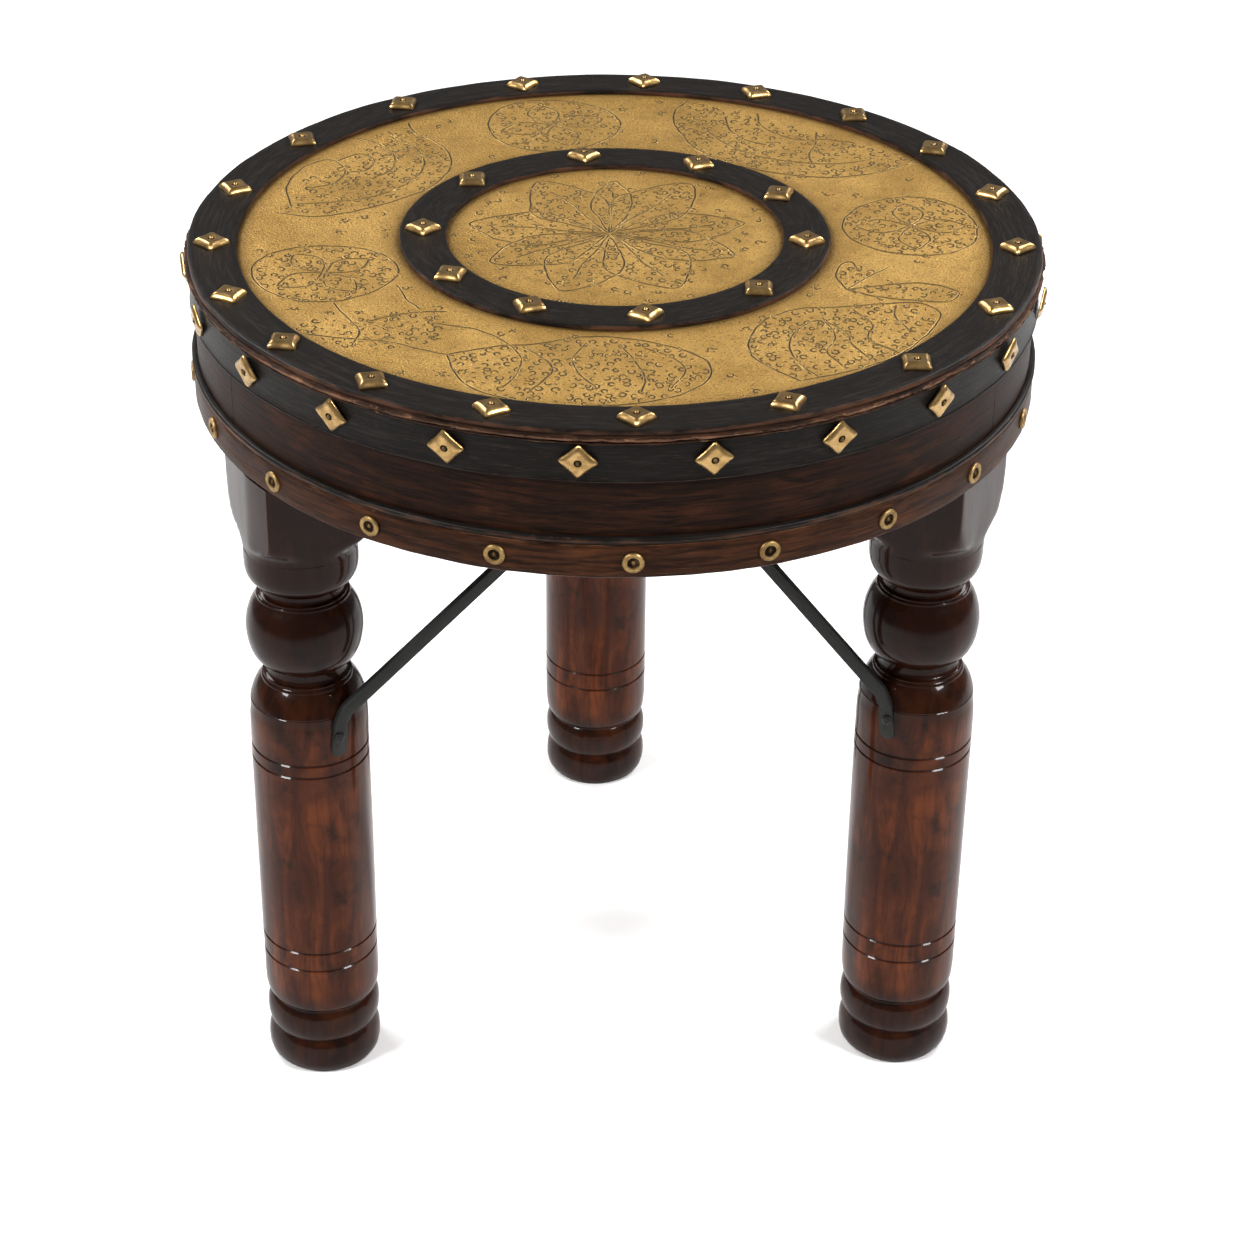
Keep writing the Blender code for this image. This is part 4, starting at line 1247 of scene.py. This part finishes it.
@dataclass
class Drum:
    """The side of the table: worn rim moulding, strap, bare hoop, bead and lower band."""

    steps: int = 320
    fine_steps: int = 1080
    hoop_joints: tuple[float, ...] = (90.0, 210.0, 330.0)
    joint_gap: float = 0.0003
    hoop_depth: float = 0.0250
    hoop_inset: float = 0.0043
    bead_depth: float = 0.0040
    bead_round: float = 0.0020
    strap_depth: float = 0.0025
    strap_lip: float = 0.0014
    lower_depth: float = 0.0032
    chamfer: float = 0.0016
    rim_depth: float = 0.030
    rim_splinters: float = 0.0017
    rim_crests: tuple[Point, ...] = (
        (0.00, -2.4), (0.02, -1.0), (0.08, -0.8), (0.16, -1.1), (0.21, -2.6), (0.27, -2.6), (0.32, -1.1),
        (0.40, -0.3), (0.50, 0.0), (0.62, -0.1), (0.72, -0.7), (0.79, -1.6), (0.83, -2.9), (0.95, -2.9),
        (1.0, -2.9),
    )

    def ring(self, name: str, section: Sequence[Point], wear: Shade,
             rough: Sequence[tuple[float, float]], material: Finish, slot: Slot,
             replaces: Sequence[str], ragged: float = 0.0) -> None:
        """Make one ring of the drum.

        Args:
            name: Name of the piece.
            section: Closed (radius, height) profile.
            wear: Wear at a point, 0 to 1.
            rough: Noise layers that roughen it.
            material: Its finish.
            slot: Not used.
            replaces: CAD nodes it stands for.
            ragged: Depth of the splinters along its edges.
        """
        bm = turned(section, self.fine_steps if ragged else self.steps, closed=True)
        paint(bm, "wear", wear)
        rugged(bm, rough, len(name))
        if ragged:
            splinter(bm, ragged, wear)
        adopt(name, bm, material, replaces)

    def rim(self) -> None:
        """Make the worn moulding under the top band."""
        low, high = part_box("rim_moulding")
        outer = high.x
        span = high.z - low.z
        section = [(outer - self.rim_depth, low.z)]
        section += [(outer + dr * MILLIMETRE, low.z + t * span) for t, dr in self.rim_crests]
        section += [(outer - self.rim_depth, high.z)]

        def wear(point: Vector) -> float:
            """Wear, strongest on the crest."""
            radius = math.hypot(point.x, point.y)
            return 1.0 - (outer - radius) / 0.0016

        finish = RingWood(name="rim_worn_wood", dark=(0.010, 0.0055, 0.004), mid=(0.042, 0.019, 0.011),
                          redness=0.4, rawness=0.55, fibre=0.85, gloss=0.42)
        rough = ((38.0, 0.0005), (160.0, 0.0004))
        self.ring("rim_moulding_worn", section, wear, rough, finish.material(), Slot.WOOD, ("rim_moulding",),
                  self.rim_splinters)

    def strap(self) -> None:
        """Make the dark strap that holds the diamond studs."""
        low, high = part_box("side_strap")
        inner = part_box("drum_bead")[1].x - self.bead_depth
        outer = inner + self.strap_depth
        lip = self.strap_lip
        section = [(inner, low.z), (outer + 0.0001, low.z), (outer + 0.0005, low.z + lip * 0.5)]
        section += [(outer + 0.0001, low.z + lip), (outer, low.z + lip * 1.3)]
        section += [(outer, low.z + (high.z - low.z) * t) for t in (0.3, 0.5, 0.7, 0.9)]
        section += [(outer, high.z), (inner, high.z)]

        def wear(point: Vector) -> float:
            """Wear, strongest on the two edges."""
            return max(1.0 - (point.z - low.z) / 0.0016, 1.0 - (high.z - point.z) / 0.0020)

        self.ring("side_strap_finished", section, wear, ((45.0, 0.0003), (200.0, 0.00012)),
                  EbonisedWood(name="ebonised_strap").material(), Slot.EBONY, ("side_strap",))

    def hoop(self) -> None:
        """Make the three segments of the wooden hoop."""
        low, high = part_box("hoop_segment_1")
        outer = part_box("drum_bead")[1].x - self.hoop_inset
        inner = outer - self.hoop_depth
        section = [(inner, low.z), (outer, low.z)]
        section += [(outer, low.z + (high.z - low.z) * k / 10.0) for k in range(1, 10)]
        section += [(outer, high.z), (inner, high.z)]
        trim = math.degrees(self.joint_gap * 0.5 / outer)
        finish = RingWood(name="hoop_stained_wood", redness=0.45, gloss=0.40).material()
        for i, start in enumerate(self.hoop_joints):
            bm = turned(section, self.steps // 3, True, 120.0 - 2.0 * trim, start + trim)
            paint(bm, "wear", lambda point: 0.0)
            rugged(bm, ((20.0, 0.0003), (140.0, 0.00012)), 4.0 + i)
            node = "hoop_segment_%d" % (i + 1)
            adopt(node + "_finished", bm, finish, (node,))

    def bead(self) -> None:
        """Make the small round bead above the lower band."""
        low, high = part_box("drum_bead")
        inner = high.x - self.bead_depth
        middle = 0.5 * (low.z + high.z)
        half = 0.5 * (high.z - low.z)
        section = [(inner, low.z)]
        for k in range(9):
            a = math.radians(-90.0 + 22.5 * k)
            reach = high.x - self.bead_round + self.bead_round * math.cos(a)
            section.append((reach, middle + half * math.sin(a)))
        section.append((inner, high.z))

        def wear(point: Vector) -> float:
            """Wear, strongest on the crown."""
            return 1.0 - (high.x - math.hypot(point.x, point.y)) / 0.0012

        self.ring("drum_bead_finished", section, wear, ((60.0, 0.0003), (260.0, 0.0002)),
                  EbonisedWood(name="ebonised_bead").material(), Slot.EBONY, ("drum_bead",))

    def lower(self) -> None:
        """Make the band round the foot of the drum."""
        low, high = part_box("lower_band")
        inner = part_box("drum_bead")[1].x - self.bead_depth
        outer = inner + self.lower_depth
        chamfer = self.chamfer
        section = [(inner, low.z), (outer - chamfer, low.z), (outer - chamfer * 0.3, low.z + chamfer * 0.5)]
        section += [(outer, low.z + chamfer)]
        rise = high.z - low.z - chamfer
        section += [(outer, low.z + chamfer + rise * t) for t in (0.25, 0.5, 0.75, 0.94)]
        section += [(outer - 0.0005, high.z), (inner, high.z)]

        def wear(point: Vector) -> float:
            """Wear, full on the upper edge and slighter on the lower one."""
            return max(0.6 * (1.0 - (point.z - low.z - chamfer) / 0.0020), 1.0 - (high.z - point.z) / 0.0020)

        finish = RingWood(name="lower_band_wood", dark=(0.010, 0.004, 0.002), mid=(0.040, 0.014, 0.006),
                          red=(0.095, 0.032, 0.012), redness=0.7, rawness=0.30, fibre=0.25, gloss=0.34)
        rough = ((40.0, 0.0004), (180.0, 0.00018))
        self.ring("lower_band_finished", section, wear, rough, finish.material(), Slot.WOOD, ("lower_band",))

    def dress(self) -> None:
        """Make every ring of the drum and finish the boards."""
        self.rim()
        self.strap()
        self.hoop()
        self.bead()
        self.lower()
        board = BoardWood().material()
        for name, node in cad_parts.items():
            if "board" in name:
                node.data.materials.clear()
                node.data.materials.append(board)


# --------------------------------------------------------------------------- studs


@dataclass
class Studs:
    """Brass nails: square caps on the bands, diamonds and rounds on the side."""

    side: float = 0.0190
    lip: float = 0.0008
    shoulder: tuple[Point, ...] = (
        (0.04, 0.16), (0.14, 0.36), (0.32, 0.60), (0.55, 0.82), (0.76, 0.95), (0.90, 0.99), (1.0, 1.0),
    )
    flat_share: float = 0.60
    flat_dip: float = 0.0003
    dish: float = 0.0025
    # Each dish ring: share of the dish's radius, its lift, and how much painted shade it gets.
    dish_rings: tuple[Triple, ...] = (
        (1.14, 0.0, 0.05), (1.0, -0.0001, 0.7), (0.90, -0.0005, 1.2), (0.74, -0.0010, 1.3),
    )
    pin: float = 0.0016
    pin_sink: float = 0.0004
    round_steps: int = 64
    squareness: float = 14.0
    hollow_side: float = 0.035
    top_height: float = 0.0045
    top_lift: float = 0.0001
    crooked: float = 4.0
    tipped: float = 2.0
    diamond_count: int = 22
    diamond_start: float = 282.2
    diamond_side: float = 0.0190
    diamond_height: float = 0.0032
    diamond_stand: float = 0.0027
    diamond_depth: float = 0.0210
    diamond_lean: float = 8.0
    round_count: int = 21
    round_start: float = 272.6
    round_radius: float = 0.0074
    round_stand: float = 0.0033
    button_steps: int = 28
    button_section: tuple[Point, ...] = (
        (0.0, 0.0), (1.0, 0.0), (1.0, 0.0007), (0.96, 0.0014), (0.90, 0.0018), (0.82, 0.0017),
        (0.72, 0.0016), (0.62, 0.0018), (0.56, 0.0016), (0.51, 0.0008), (0.48, 0.0004), (0.0, 0.0003),
    )

    def pillow(self, side: float, height: float, painted_pin_shade: float) -> Shape:
        """Make a square cap with rounded shoulders, a dish with painted shade and a ball pin.

        Args:
            side: Width of the cap.
            height: Height of its flat.
            painted_pin_shade: How dark the pin is painted, 0 to 1, as painted shade.

        Returns:
            The cap, standing on z = 0 at the origin.
        """
        bm = bmesh.new()
        layer = bm.verts.layers.float.new("hollow")
        half = side * 0.5
        rings = [(1.0, 0.0), (1.0, self.lip)]
        for share, rise in self.shoulder:
            rings.append((1.0 - share * (1.0 - self.flat_share), self.lip + rise * (height - self.lip)))
        rings += [(self.flat_share - 0.08, height - 0.0001), (self.flat_share - 0.18, height - 0.0002)]
        bed = height - self.flat_dip
        loops = []
        for share, z in rings:
            blend = max(0.0, min(1.0, (self.flat_share - share) * 3.0))
            loops.append((share * half, blend, z, 0.0))
        for share, lift, shade in self.dish_rings:
            loops.append((share * self.dish, 1.0, bed + lift, shade))
        count = self.round_steps
        made = []
        for reach, blend, z, shade in loops:
            loop = [bm.verts.new((*self.outline(step, reach, blend), z)) for step in range(count)]
            for vert in loop:
                vert[layer] = shade
            made.append(loop)
        for lower, upper in zip(made, made[1:]):
            for i in range(count):
                bm.faces.new((lower[i], lower[(i + 1) % count], upper[(i + 1) % count], upper[i]))
        bm.faces.new(list(reversed(made[0])))
        bm.faces.new(made[-1])
        bmesh.ops.recalc_face_normals(bm, faces=bm.faces)
        ball = bmesh.new()
        bmesh.ops.create_uvsphere(ball, u_segments=16, v_segments=10, radius=self.pin)
        bmesh.ops.translate(ball, vec=(0.0, 0.0, bed - self.pin_sink), verts=ball.verts)
        self.graft(bm, ball, painted_pin_shade)
        return bm

    def outline(self, step: int, reach: float, round_share: float) -> Point:
        """Give a point of a cap's outline: a square with soft corners and hollow sides.

        Args:
            step: Step round the outline.
            reach: Half of the width.
            round_share: 0 for the square, 1 for a circle.

        Returns:
            The point.
        """
        angle = 2.0 * math.pi * step / self.round_steps
        x, y = math.cos(angle), math.sin(angle)
        square = (abs(x) ** self.squareness + abs(y) ** self.squareness) ** (-1.0 / self.squareness)
        square *= 1.0 - self.hollow_side * math.cos(2.0 * angle) ** 2
        radius = reach * (square + (1.0 - square) * round_share)
        return (radius * x, radius * y)

    def graft(self, bm: Shape, part: Shape, shade: float) -> None:
        """Add a part to a cap, with its own shade.

        Args:
            bm: The cap.
            part: Mesh to add; it is freed.
            shade: How dark the part is, 0 to 1.
        """
        paint(part, "hollow", lambda p: shade)
        mesh = bpy.data.meshes.new("part")
        part.to_mesh(mesh)
        part.free()
        bm.from_mesh(mesh)
        bpy.data.meshes.remove(mesh)

    def button(self, radius: float) -> Shape:
        """Make a round cap: a fat raised ring round a dish with painted shade and a ball pin.

        Args:
            radius: Radius of the cap.

        Returns:
            The cap, standing on z = 0 at the origin.
        """
        bm = turned([(radius * share, z) for share, z in self.button_section], self.button_steps)
        # Painted shade in the centre dish round the pin, and on the pin below. The raised ring takes a
        # lighter share, as a darker brass tone.
        paint(bm, "hollow", lambda p: 1.3 if math.hypot(p.x, p.y) < radius * 0.53 else 0.32)
        ball = bmesh.new()
        bmesh.ops.create_uvsphere(ball, u_segments=12, v_segments=8, radius=radius * 0.20)
        bmesh.ops.translate(ball, vec=(0.0, 0.0, 0.0003), verts=ball.verts)
        self.graft(bm, ball, 0.7)
        return bm

    def top_caps(self, material: Finish) -> None:
        """Set the square nails of both bands where the CAD has them.

        Args:
            material: Finish of the nails.
        """
        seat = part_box("outer_top_band")[1].z + self.top_lift
        for name in sorted(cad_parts):
            if "_stud_" not in name:
                continue
            low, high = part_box(name)
            centre = (low + high) * 0.5
            angle = math.atan2(centre.y, centre.x)
            hand = random.Random(name)
            # The top caps' pins take little painted shade.
            bm = self.pillow(self.side, self.top_height, 0.15)
            tilt = Matrix.Rotation(math.radians(hand.uniform(-self.tipped, self.tipped)), 4, "X")
            spin = math.radians(45.0 + hand.uniform(-self.crooked, self.crooked))
            turn = Matrix.Rotation(angle + spin, 4, "Z")
            bm.transform(Matrix.Translation((centre.x, centre.y, seat)) @ turn @ tilt)
            adopt(name + "_cap", bm, material, (name,), 30.0)

    def side_caps(self, material: Finish) -> None:
        """Set the diamonds of the strap and the round nails of the lower band.

        Args:
            material: Finish of the nails.
        """
        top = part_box("outer_top_band")[1].z
        band_low, band_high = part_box("lower_band")
        band_middle = 0.5 * (band_low.z + band_high.z)
        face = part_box("drum_bead")[1].x - Drum.bead_depth
        upright = Matrix.Rotation(math.radians(90.0), 4, "Y")
        diamond, button = face + self.diamond_stand, face + self.round_stand
        rows = (
            ("side_diamond", self.diamond_count, self.diamond_start, diamond, top - self.diamond_depth),
            ("side_round", self.round_count, self.round_start, button, band_middle),
        )
        for prefix, count, start, radius, z in rows:
            for i in range(count):
                hand = random.Random("%s%d" % (prefix, i))
                angle = start + 360.0 * i / count
                if prefix == "side_diamond":
                    # The side diamonds' pins are painted much darker than the top caps' pins: painted shade.
                    bm = self.pillow(self.diamond_side, self.diamond_height, 0.75)
                    spin = 45.0 + hand.uniform(-self.crooked, self.crooked)
                    lean = self.diamond_lean
                else:
                    bm = self.button(self.round_radius)
                    spin = lean = 0.0
                bm.transform(Matrix.Rotation(math.radians(spin), 4, "Z"))
                turn = Matrix.Rotation(math.radians(angle), 4, "Z")
                nod = Matrix.Rotation(math.radians(lean), 4, "Y")
                out = 0.65 * self.diamond_side * math.sin(math.radians(lean))
                bm.transform(Matrix.Translation(polar(radius + out, angle, z)) @ turn @ nod @ upright)
                adopt("%s_stud_%02d" % (prefix, i + 1), bm, material, (), 30.0)

    def dress(self) -> None:
        """Make every stud."""
        material = StudBrass().material()
        self.top_caps(material)
        self.side_caps(material)


# --------------------------------------------------------------------------- legs and braces


@dataclass
class Legs:
    """Three turned legs, square above and rounded below, with cut grooves."""

    steps: int = 96
    shaft: float = 0.0424
    block: float = 0.0402
    block_height: float = 0.0662
    neck: float = 0.1470
    corner: float = 0.0370
    crispness: float = 44.0
    stain: float = 0.95
    blending: float = 60.0
    turns: tuple[float, ...] = (0.0, -10.0, 0.7)
    drum_gap: float = 0.0003
    flush_gap: float = 0.0014
    foot_top: float = 0.078
    shade_reach: float = 0.020
    spigot_height: float = 0.020
    groove: Triple = (0.0012, 0.0003, 0.0009)
    low_grooves: tuple[float, ...] = (0.0985, 0.1140)
    high_grooves: tuple[float, ...] = (0.0250, 0.0150)
    foot: tuple[Point, ...] = (
        (0.0, 0.0), (0.84, 0.0), (0.90, 0.0008), (0.955, 0.0042), (0.982, 0.0090), (0.990, 0.0145),
        (0.982, 0.0200), (0.955, 0.0246), (0.915, 0.0276), (0.905, 0.0286), (0.918, 0.0297),
        (0.955, 0.0325), (0.980, 0.0370), (0.988, 0.0420), (0.980, 0.0472), (0.955, 0.0515),
        (0.915, 0.0546), (0.895, 0.0556), (0.895, 0.0570), (0.912, 0.0574), (0.945, 0.0590),
        (0.972, 0.0622), (0.990, 0.0675), (1.0, 0.0760),
    )
    upper: tuple[Point, ...] = (
        (0.976, 0.102), (0.972, 0.150), (0.962, 0.153), (0.962, 0.157), (0.968, 0.160), (0.950, 0.178),
        (0.920, 0.203), (0.880, 0.228), (0.835, 0.250), (0.790, 0.266), (0.775, 0.271), (0.772, 0.280),
        (0.756, 0.287), (0.742, 0.290), (0.738, 0.296), (0.720, 0.300), (0.690, 0.304), (0.672, 0.312),
        (0.664, 0.326), (0.662, 0.342), (0.666, 0.352), (0.676, 0.355), (0.690, 0.357), (0.700, 0.362),
        (0.740, 0.368), (0.810, 0.385), (0.870, 0.410), (0.920, 0.442), (0.955, 0.480), (0.976, 0.522),
        (0.982, 0.552), (0.976, 0.582), (0.955, 0.620), (0.920, 0.655), (0.880, 0.683), (0.835, 0.706),
        (0.795, 0.722), (0.786, 0.727), (0.784, 0.735), (0.768, 0.741), (0.748, 0.743), (0.744, 0.750),
        (0.720, 0.754), (0.690, 0.757), (0.678, 0.765), (0.674, 0.778), (0.676, 0.788), (0.690, 0.791),
        (0.700, 0.798), (0.712, 0.801), (0.716, 0.806), (0.770, 0.811), (0.830, 0.822), (0.885, 0.842),
        (0.925, 0.868), (0.942, 0.900), (0.946, 0.930), (0.946, 1.0),
    )
    shoulder: tuple[Point, ...] = (
        (0.20, 1.055), (0.27, 1.115), (0.34, 1.210), (0.40, 1.262), (0.48, 1.295), (0.57, 1.322),
        (0.70, 1.355), (0.84, 1.385), (1.2, 1.47),
    )
    eighth: tuple[float, ...] = (0.0, 4.0, 9.0, 15.0, 22.0, 29.0, 35.0, 39.0, 42.0, 43.5, 44.4, 45.0)

    def turned_profile(self, shaft_top: float, block_low: float) -> list[Point]:
        """Return the (radius, height) profile of the turned part.

        Args:
            shaft_top: Height of the top of the plain shaft.
            block_low: Height of the bottom of the block.

        Returns:
            The profile, from the floor up.
        """
        s = self.shaft
        n = block_low - shaft_top

        def groove(z: float) -> list[Point]:
            """Cut one groove at a height."""
            wide, flat, deep = self.groove
            return [(s, z - wide), (s - deep, z - flat), (s - deep, z + flat), (s, z + wide)]

        path = [(s * r, z) for r, z in self.foot]
        for z in self.low_grooves + tuple(shaft_top - drop for drop in self.high_grooves):
            path += groove(z)
        path += [(s, shaft_top), (s * 0.996, shaft_top + n * 0.060), (s * 0.980, shaft_top + n * 0.098)]
        path += [(s * r, shaft_top + n * t) for r, t in self.upper]
        spigot = self.block * 0.985
        path += [(spigot, block_low + 0.0006), (spigot, block_low + self.spigot_height)]
        path += [(0.0, block_low + self.spigot_height)]
        return path

    def head(self, low: float, high: float, turn: float) -> Shape:
        """Make the square block, its lower corners turned away on the lathe.

        Args:
            low: Height of its bottom.
            high: Height of its top.
            turn: Its turn about the leg, in degrees.

        Returns:
            The block about the leg's own axis.
        """
        b, c = self.block, self.corner
        rings = [(low, b * 0.90), (low, b * 1.003), (low + c * 0.08, b * 1.012), (low + c * 0.14, b * 1.025)]
        rings += [(low + c * t, b * k) for t, k in self.shoulder]
        rings += [(high - 0.0005, b * self.shoulder[-1][1])]
        bm = bmesh.new()
        side = list(self.eighth) + [90.0 - a for a in reversed(self.eighth[1:-1])]
        angles = [90.0 * quarter + a for quarter in range(4) for a in side]
        made = []
        for z, radius in rings:
            loop = []
            for angle in angles:
                x, y = math.cos(math.radians(angle)), math.sin(math.radians(angle))
                flat = b * (abs(x) ** self.crispness + abs(y) ** self.crispness) ** (-1.0 / self.crispness)
                reach = (flat ** -self.blending + radius ** -self.blending) ** (-1.0 / self.blending)
                spin = math.radians(angle + turn)
                loop.append(bm.verts.new((reach * math.cos(spin), reach * math.sin(spin), z)))
            made.append(loop)
        count = len(angles)
        for lower, upper in zip(made, made[1:]):
            for i in range(count):
                bm.faces.new((lower[i], lower[(i + 1) % count], upper[(i + 1) % count], upper[i]))
        bm.faces.new(list(reversed(made[0])))
        bm.faces.new(made[-1])
        return bm

    def plane_flush(self, block: Shape, reach: float) -> None:
        """Plane a block's corners flush with the outside of the drum.

        Args:
            block: Block about the leg's own axis, with the table's axis at -reach along X.
            reach: Distance from the table's axis to the leg's.
        """
        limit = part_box("drum_bead")[1].x - self.flush_gap
        for vert in block.verts:
            far = math.hypot(vert.co.x + reach, vert.co.y)
            if far > limit:
                vert.co.x = (vert.co.x + reach) * limit / far - reach
                vert.co.y *= limit / far

    def dress(self) -> None:
        """Make the three legs."""
        block_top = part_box("bottom_board_2")[0].z - self.drum_gap
        block_low = block_top - self.block_height
        waist = block_low - self.neck
        names = sorted(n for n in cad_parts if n.startswith("leg_"))
        for i, name in enumerate(names):
            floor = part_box(name)[0].z
            points = [v.co.copy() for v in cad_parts[name].data.vertices]
            feet = [point for point in points if point.z < floor + 1e-5]
            centre = sum(feet, Vector()) / len(feet)
            centre.z = 0.0
            leg = turned(self.turned_profile(waist, block_low), self.steps)
            block = self.head(block_low, block_top, self.turns[i])
            self.plane_flush(block, math.hypot(centre.x, centre.y))
            shell = bpy.data.meshes.new("block")
            block.to_mesh(shell)
            block.free()
            leg.from_mesh(shell)
            bpy.data.meshes.remove(shell)
            angle = math.atan2(centre.y, centre.x)
            leg.transform(Matrix.Translation(centre) @ Matrix.Rotation(angle, 4, "Z"))

            def shade(point: Vector) -> float:
                """Stain dark above and below the shaft; painted shade in the grooves and where the turning
                narrows.
                """
                far = math.hypot(point.x - centre.x, point.y - centre.y)
                # Painted shade where the turning narrows towards the axis.
                hollow = max(0.0, 1.0 - far / (self.shaft * 0.92)) * 3.0
                above = max(0.0, min(1.0, (point.z - waist) / self.shade_reach)) * self.stain
                below = max(0.0, min(1.0, (self.foot_top - point.z) / self.shade_reach)) * self.stain
                on_shaft = self.foot_top <= point.z <= waist
                # Painted shade in the shaft's grooves.
                cut = 0.9 * (far < self.shaft - 0.0005)
                return max(cut if on_shaft else hollow, above, below)

            # The wear attribute on a leg holds its dark stain and this painted shade.
            paint(leg, "wear", shade)
            rugged(leg, ((30.0, 0.0005), (110.0, 0.00015)), 2.0 + i)
            for vert in leg.verts:
                vert.co.z = max(vert.co.z, 0.0)
            finish = LegWood(centre, name="leg_lacquer_%d" % (i + 1)).material()
            adopt(name + "_finished", leg, finish, (name,), 32.0)


@dataclass
class Braces:
    """Flat forged bars and their screws."""

    edge: float = 0.0009
    screw_steps: int = 24
    screw_section: tuple[Point, ...] = (
        (0.0, -0.0140), (0.0012, -0.0130), (0.0019, -0.0100), (0.0019, 0.0), (0.0040, 0.0),
        (0.0040, 0.0004), (0.0036, 0.0010), (0.0028, 0.0015), (0.0016, 0.0018), (0.0, 0.0018),
    )
    slot_half: float = 0.0007
    slot_floor: float = 0.0011
    seat_height: float = 0.0144

    def screw_head(self, place: Matrix) -> Shape:
        """Make a domed head with a cut slot, and its plain shank.

        Args:
            place: Where the head sits; it faces +Z there.

        Returns:
            The screw.
        """
        bm = turned(self.screw_section, self.screw_steps)
        for vert in bm.verts:
            if vert.co.z > 0.0012 and abs(vert.co.x) < self.slot_half:
                vert.co.z = self.slot_floor
        bm.transform(place)
        return bm

    def dress(self) -> None:
        """Finish every bar and screw."""
        iron = ForgedIron().material()
        for name in sorted(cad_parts):
            if not name.startswith("brace"):
                continue
            if "screw" in name:
                self.screw(name, iron)
                continue
            bm = cleaned_copy(name)
            round_edges(bm, self.edge, 35.0, 2)
            adopt(name + "_forged", bm, iron, (name,), 30.0)

    def screw(self, name: str, iron: Finish) -> None:
        """Make one screw in place of its CAD node.

        Args:
            name: Name of the node.
            iron: Its finish.
        """
        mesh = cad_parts[name].data
        points = [v.co.copy() for v in mesh.vertices]
        middle = sum(points, Vector()) / len(points)
        tip = max(points, key=lambda p: (p - middle).length)
        crown = max(points, key=lambda p: (p - tip).length)
        rim = [p for p in points if (p - tip).length > (crown - tip).length * 0.86]
        centre = sum(rim, Vector()) / len(rim)
        axis = (centre - tip).normalized()
        seat = tip + axis * self.seat_height
        turn = axis.to_track_quat("Z", "Y").to_matrix().to_4x4()
        bm = self.screw_head(Matrix.Translation(seat) @ turn)
        adopt(name + "_finished", bm, iron, (name,), 30.0)


# --------------------------------------------------------------------------- studio


@dataclass
class Studio:
    """Floor, soft lights and the camera."""

    focal_px: float = 3100.0
    frame_px: float = 1254.0
    back: float = 2.00385
    rise: float = 0.90400
    yaw: float = 0.33945
    pitch: float = 31.54747
    roll: float = -0.70942
    room_light: float = 0.30
    front_box: Point = (0.55, 0.55)
    back_box: Point = (1.0, 1.0)

    def floor(self) -> None:
        """Lay a pale floor."""
        bm = bmesh.new()
        bmesh.ops.create_grid(bm, x_segments=2, y_segments=2, size=6.0)
        mesh = bpy.data.meshes.new("studio_floor")
        bm.to_mesh(mesh)
        bm.free()
        r = Recipe("studio_paper")
        mesh.materials.append(r.finish(Base_Color=(0.93, 0.93, 0.93), Roughness=0.9))
        floor = bpy.data.objects.new("studio_floor", mesh)
        floor.location.z = CAD_BOX[0][2]
        bpy.context.scene.collection.objects.link(floor)

    def lamp(self, name: str, place: Vector, aim: Vector, size: Point, power: float) -> None:
        """Hang a soft box.

        Args:
            name: Name of the light.
            place: Where it hangs.
            aim: Point it faces.
            size: Its width and height.
            power: Its power in watts.
        """
        light = bpy.data.lights.new(name, "AREA")
        light.shape = "RECTANGLE"
        light.size, light.size_y = size
        light.energy = power
        holder = bpy.data.objects.new(name, light)
        holder.location = place
        holder.rotation_euler = (aim - place).to_track_quat("-Z", "Y").to_euler()
        bpy.context.scene.collection.objects.link(holder)

    def lights(self, top: float) -> None:
        """Hang the lights and set the room.

        Args:
            top: Height of the table.
        """
        world = bpy.data.worlds.new("studio_room")
        world.use_nodes = True
        room = world.node_tree.nodes["Background"]
        room.inputs["Color"].default_value = (1.0, 1.0, 1.0, 1.0)
        room.inputs["Strength"].default_value = self.room_light
        bpy.context.scene.world = world
        front, rear = Vector((0.0, 0.0, top * 0.6)), Vector((0.0, 0.0, 0.2))
        self.lamp("window_left", Vector((-1.75, -1.20, 2.10)), front, self.front_box, 62.0)
        self.lamp("window_right", Vector((1.75, -1.10, 2.10)), front, self.front_box, 56.0)
        self.lamp("back_left", Vector((-1.6, 1.25, 2.0)), rear, self.back_box, 46.0)
        self.lamp("back_right", Vector((1.6, 1.25, 2.0)), rear, self.back_box, 46.0)

    def camera(self, top: float) -> None:
        """Set up the camera at the chosen viewing angle.

        Args:
            top: Height of the table's top band.
        """
        data = bpy.data.cameras.new("viewpoint")
        data.sensor_width = 36.0
        data.sensor_fit = "HORIZONTAL"
        data.lens = self.focal_px / self.frame_px * data.sensor_width
        yaw, pitch, roll = (math.radians(v) for v in (self.yaw, self.pitch, self.roll))
        level = math.cos(pitch)
        forward = Vector((math.sin(yaw) * level, math.cos(yaw) * level, -math.sin(pitch)))
        right = Vector((math.cos(yaw), -math.sin(yaw), 0.0))
        down = forward.cross(right)
        across = math.cos(roll) * right + math.sin(roll) * down
        below = -math.sin(roll) * right + math.cos(roll) * down
        turn = Matrix((across, -below, -forward)).transposed().to_4x4()
        holder = bpy.data.objects.new("viewpoint", data)
        holder.matrix_world = Matrix.Translation((0.0, -self.back, top + self.rise)) @ turn
        bpy.context.scene.collection.objects.link(holder)
        bpy.context.scene.camera = holder

    def set_up(self) -> None:
        """Make the whole studio."""
        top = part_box("outer_top_band")[1].z
        self.floor()
        self.lights(top)
        self.camera(top)
        bpy.context.scene.view_settings.view_transform = "Standard"


def main() -> None:
    """Build the table's looks in order."""
    logging.basicConfig(level=logging.INFO, format="%(message)s")
    for part in (BrassTop(), Bands(), Drum(), Studs(), Legs(), Braces()):
        LOG.info("building %s", type(part).__name__)
        part.dress()
    Studio().set_up()


if __name__ == "__main__":
    main()
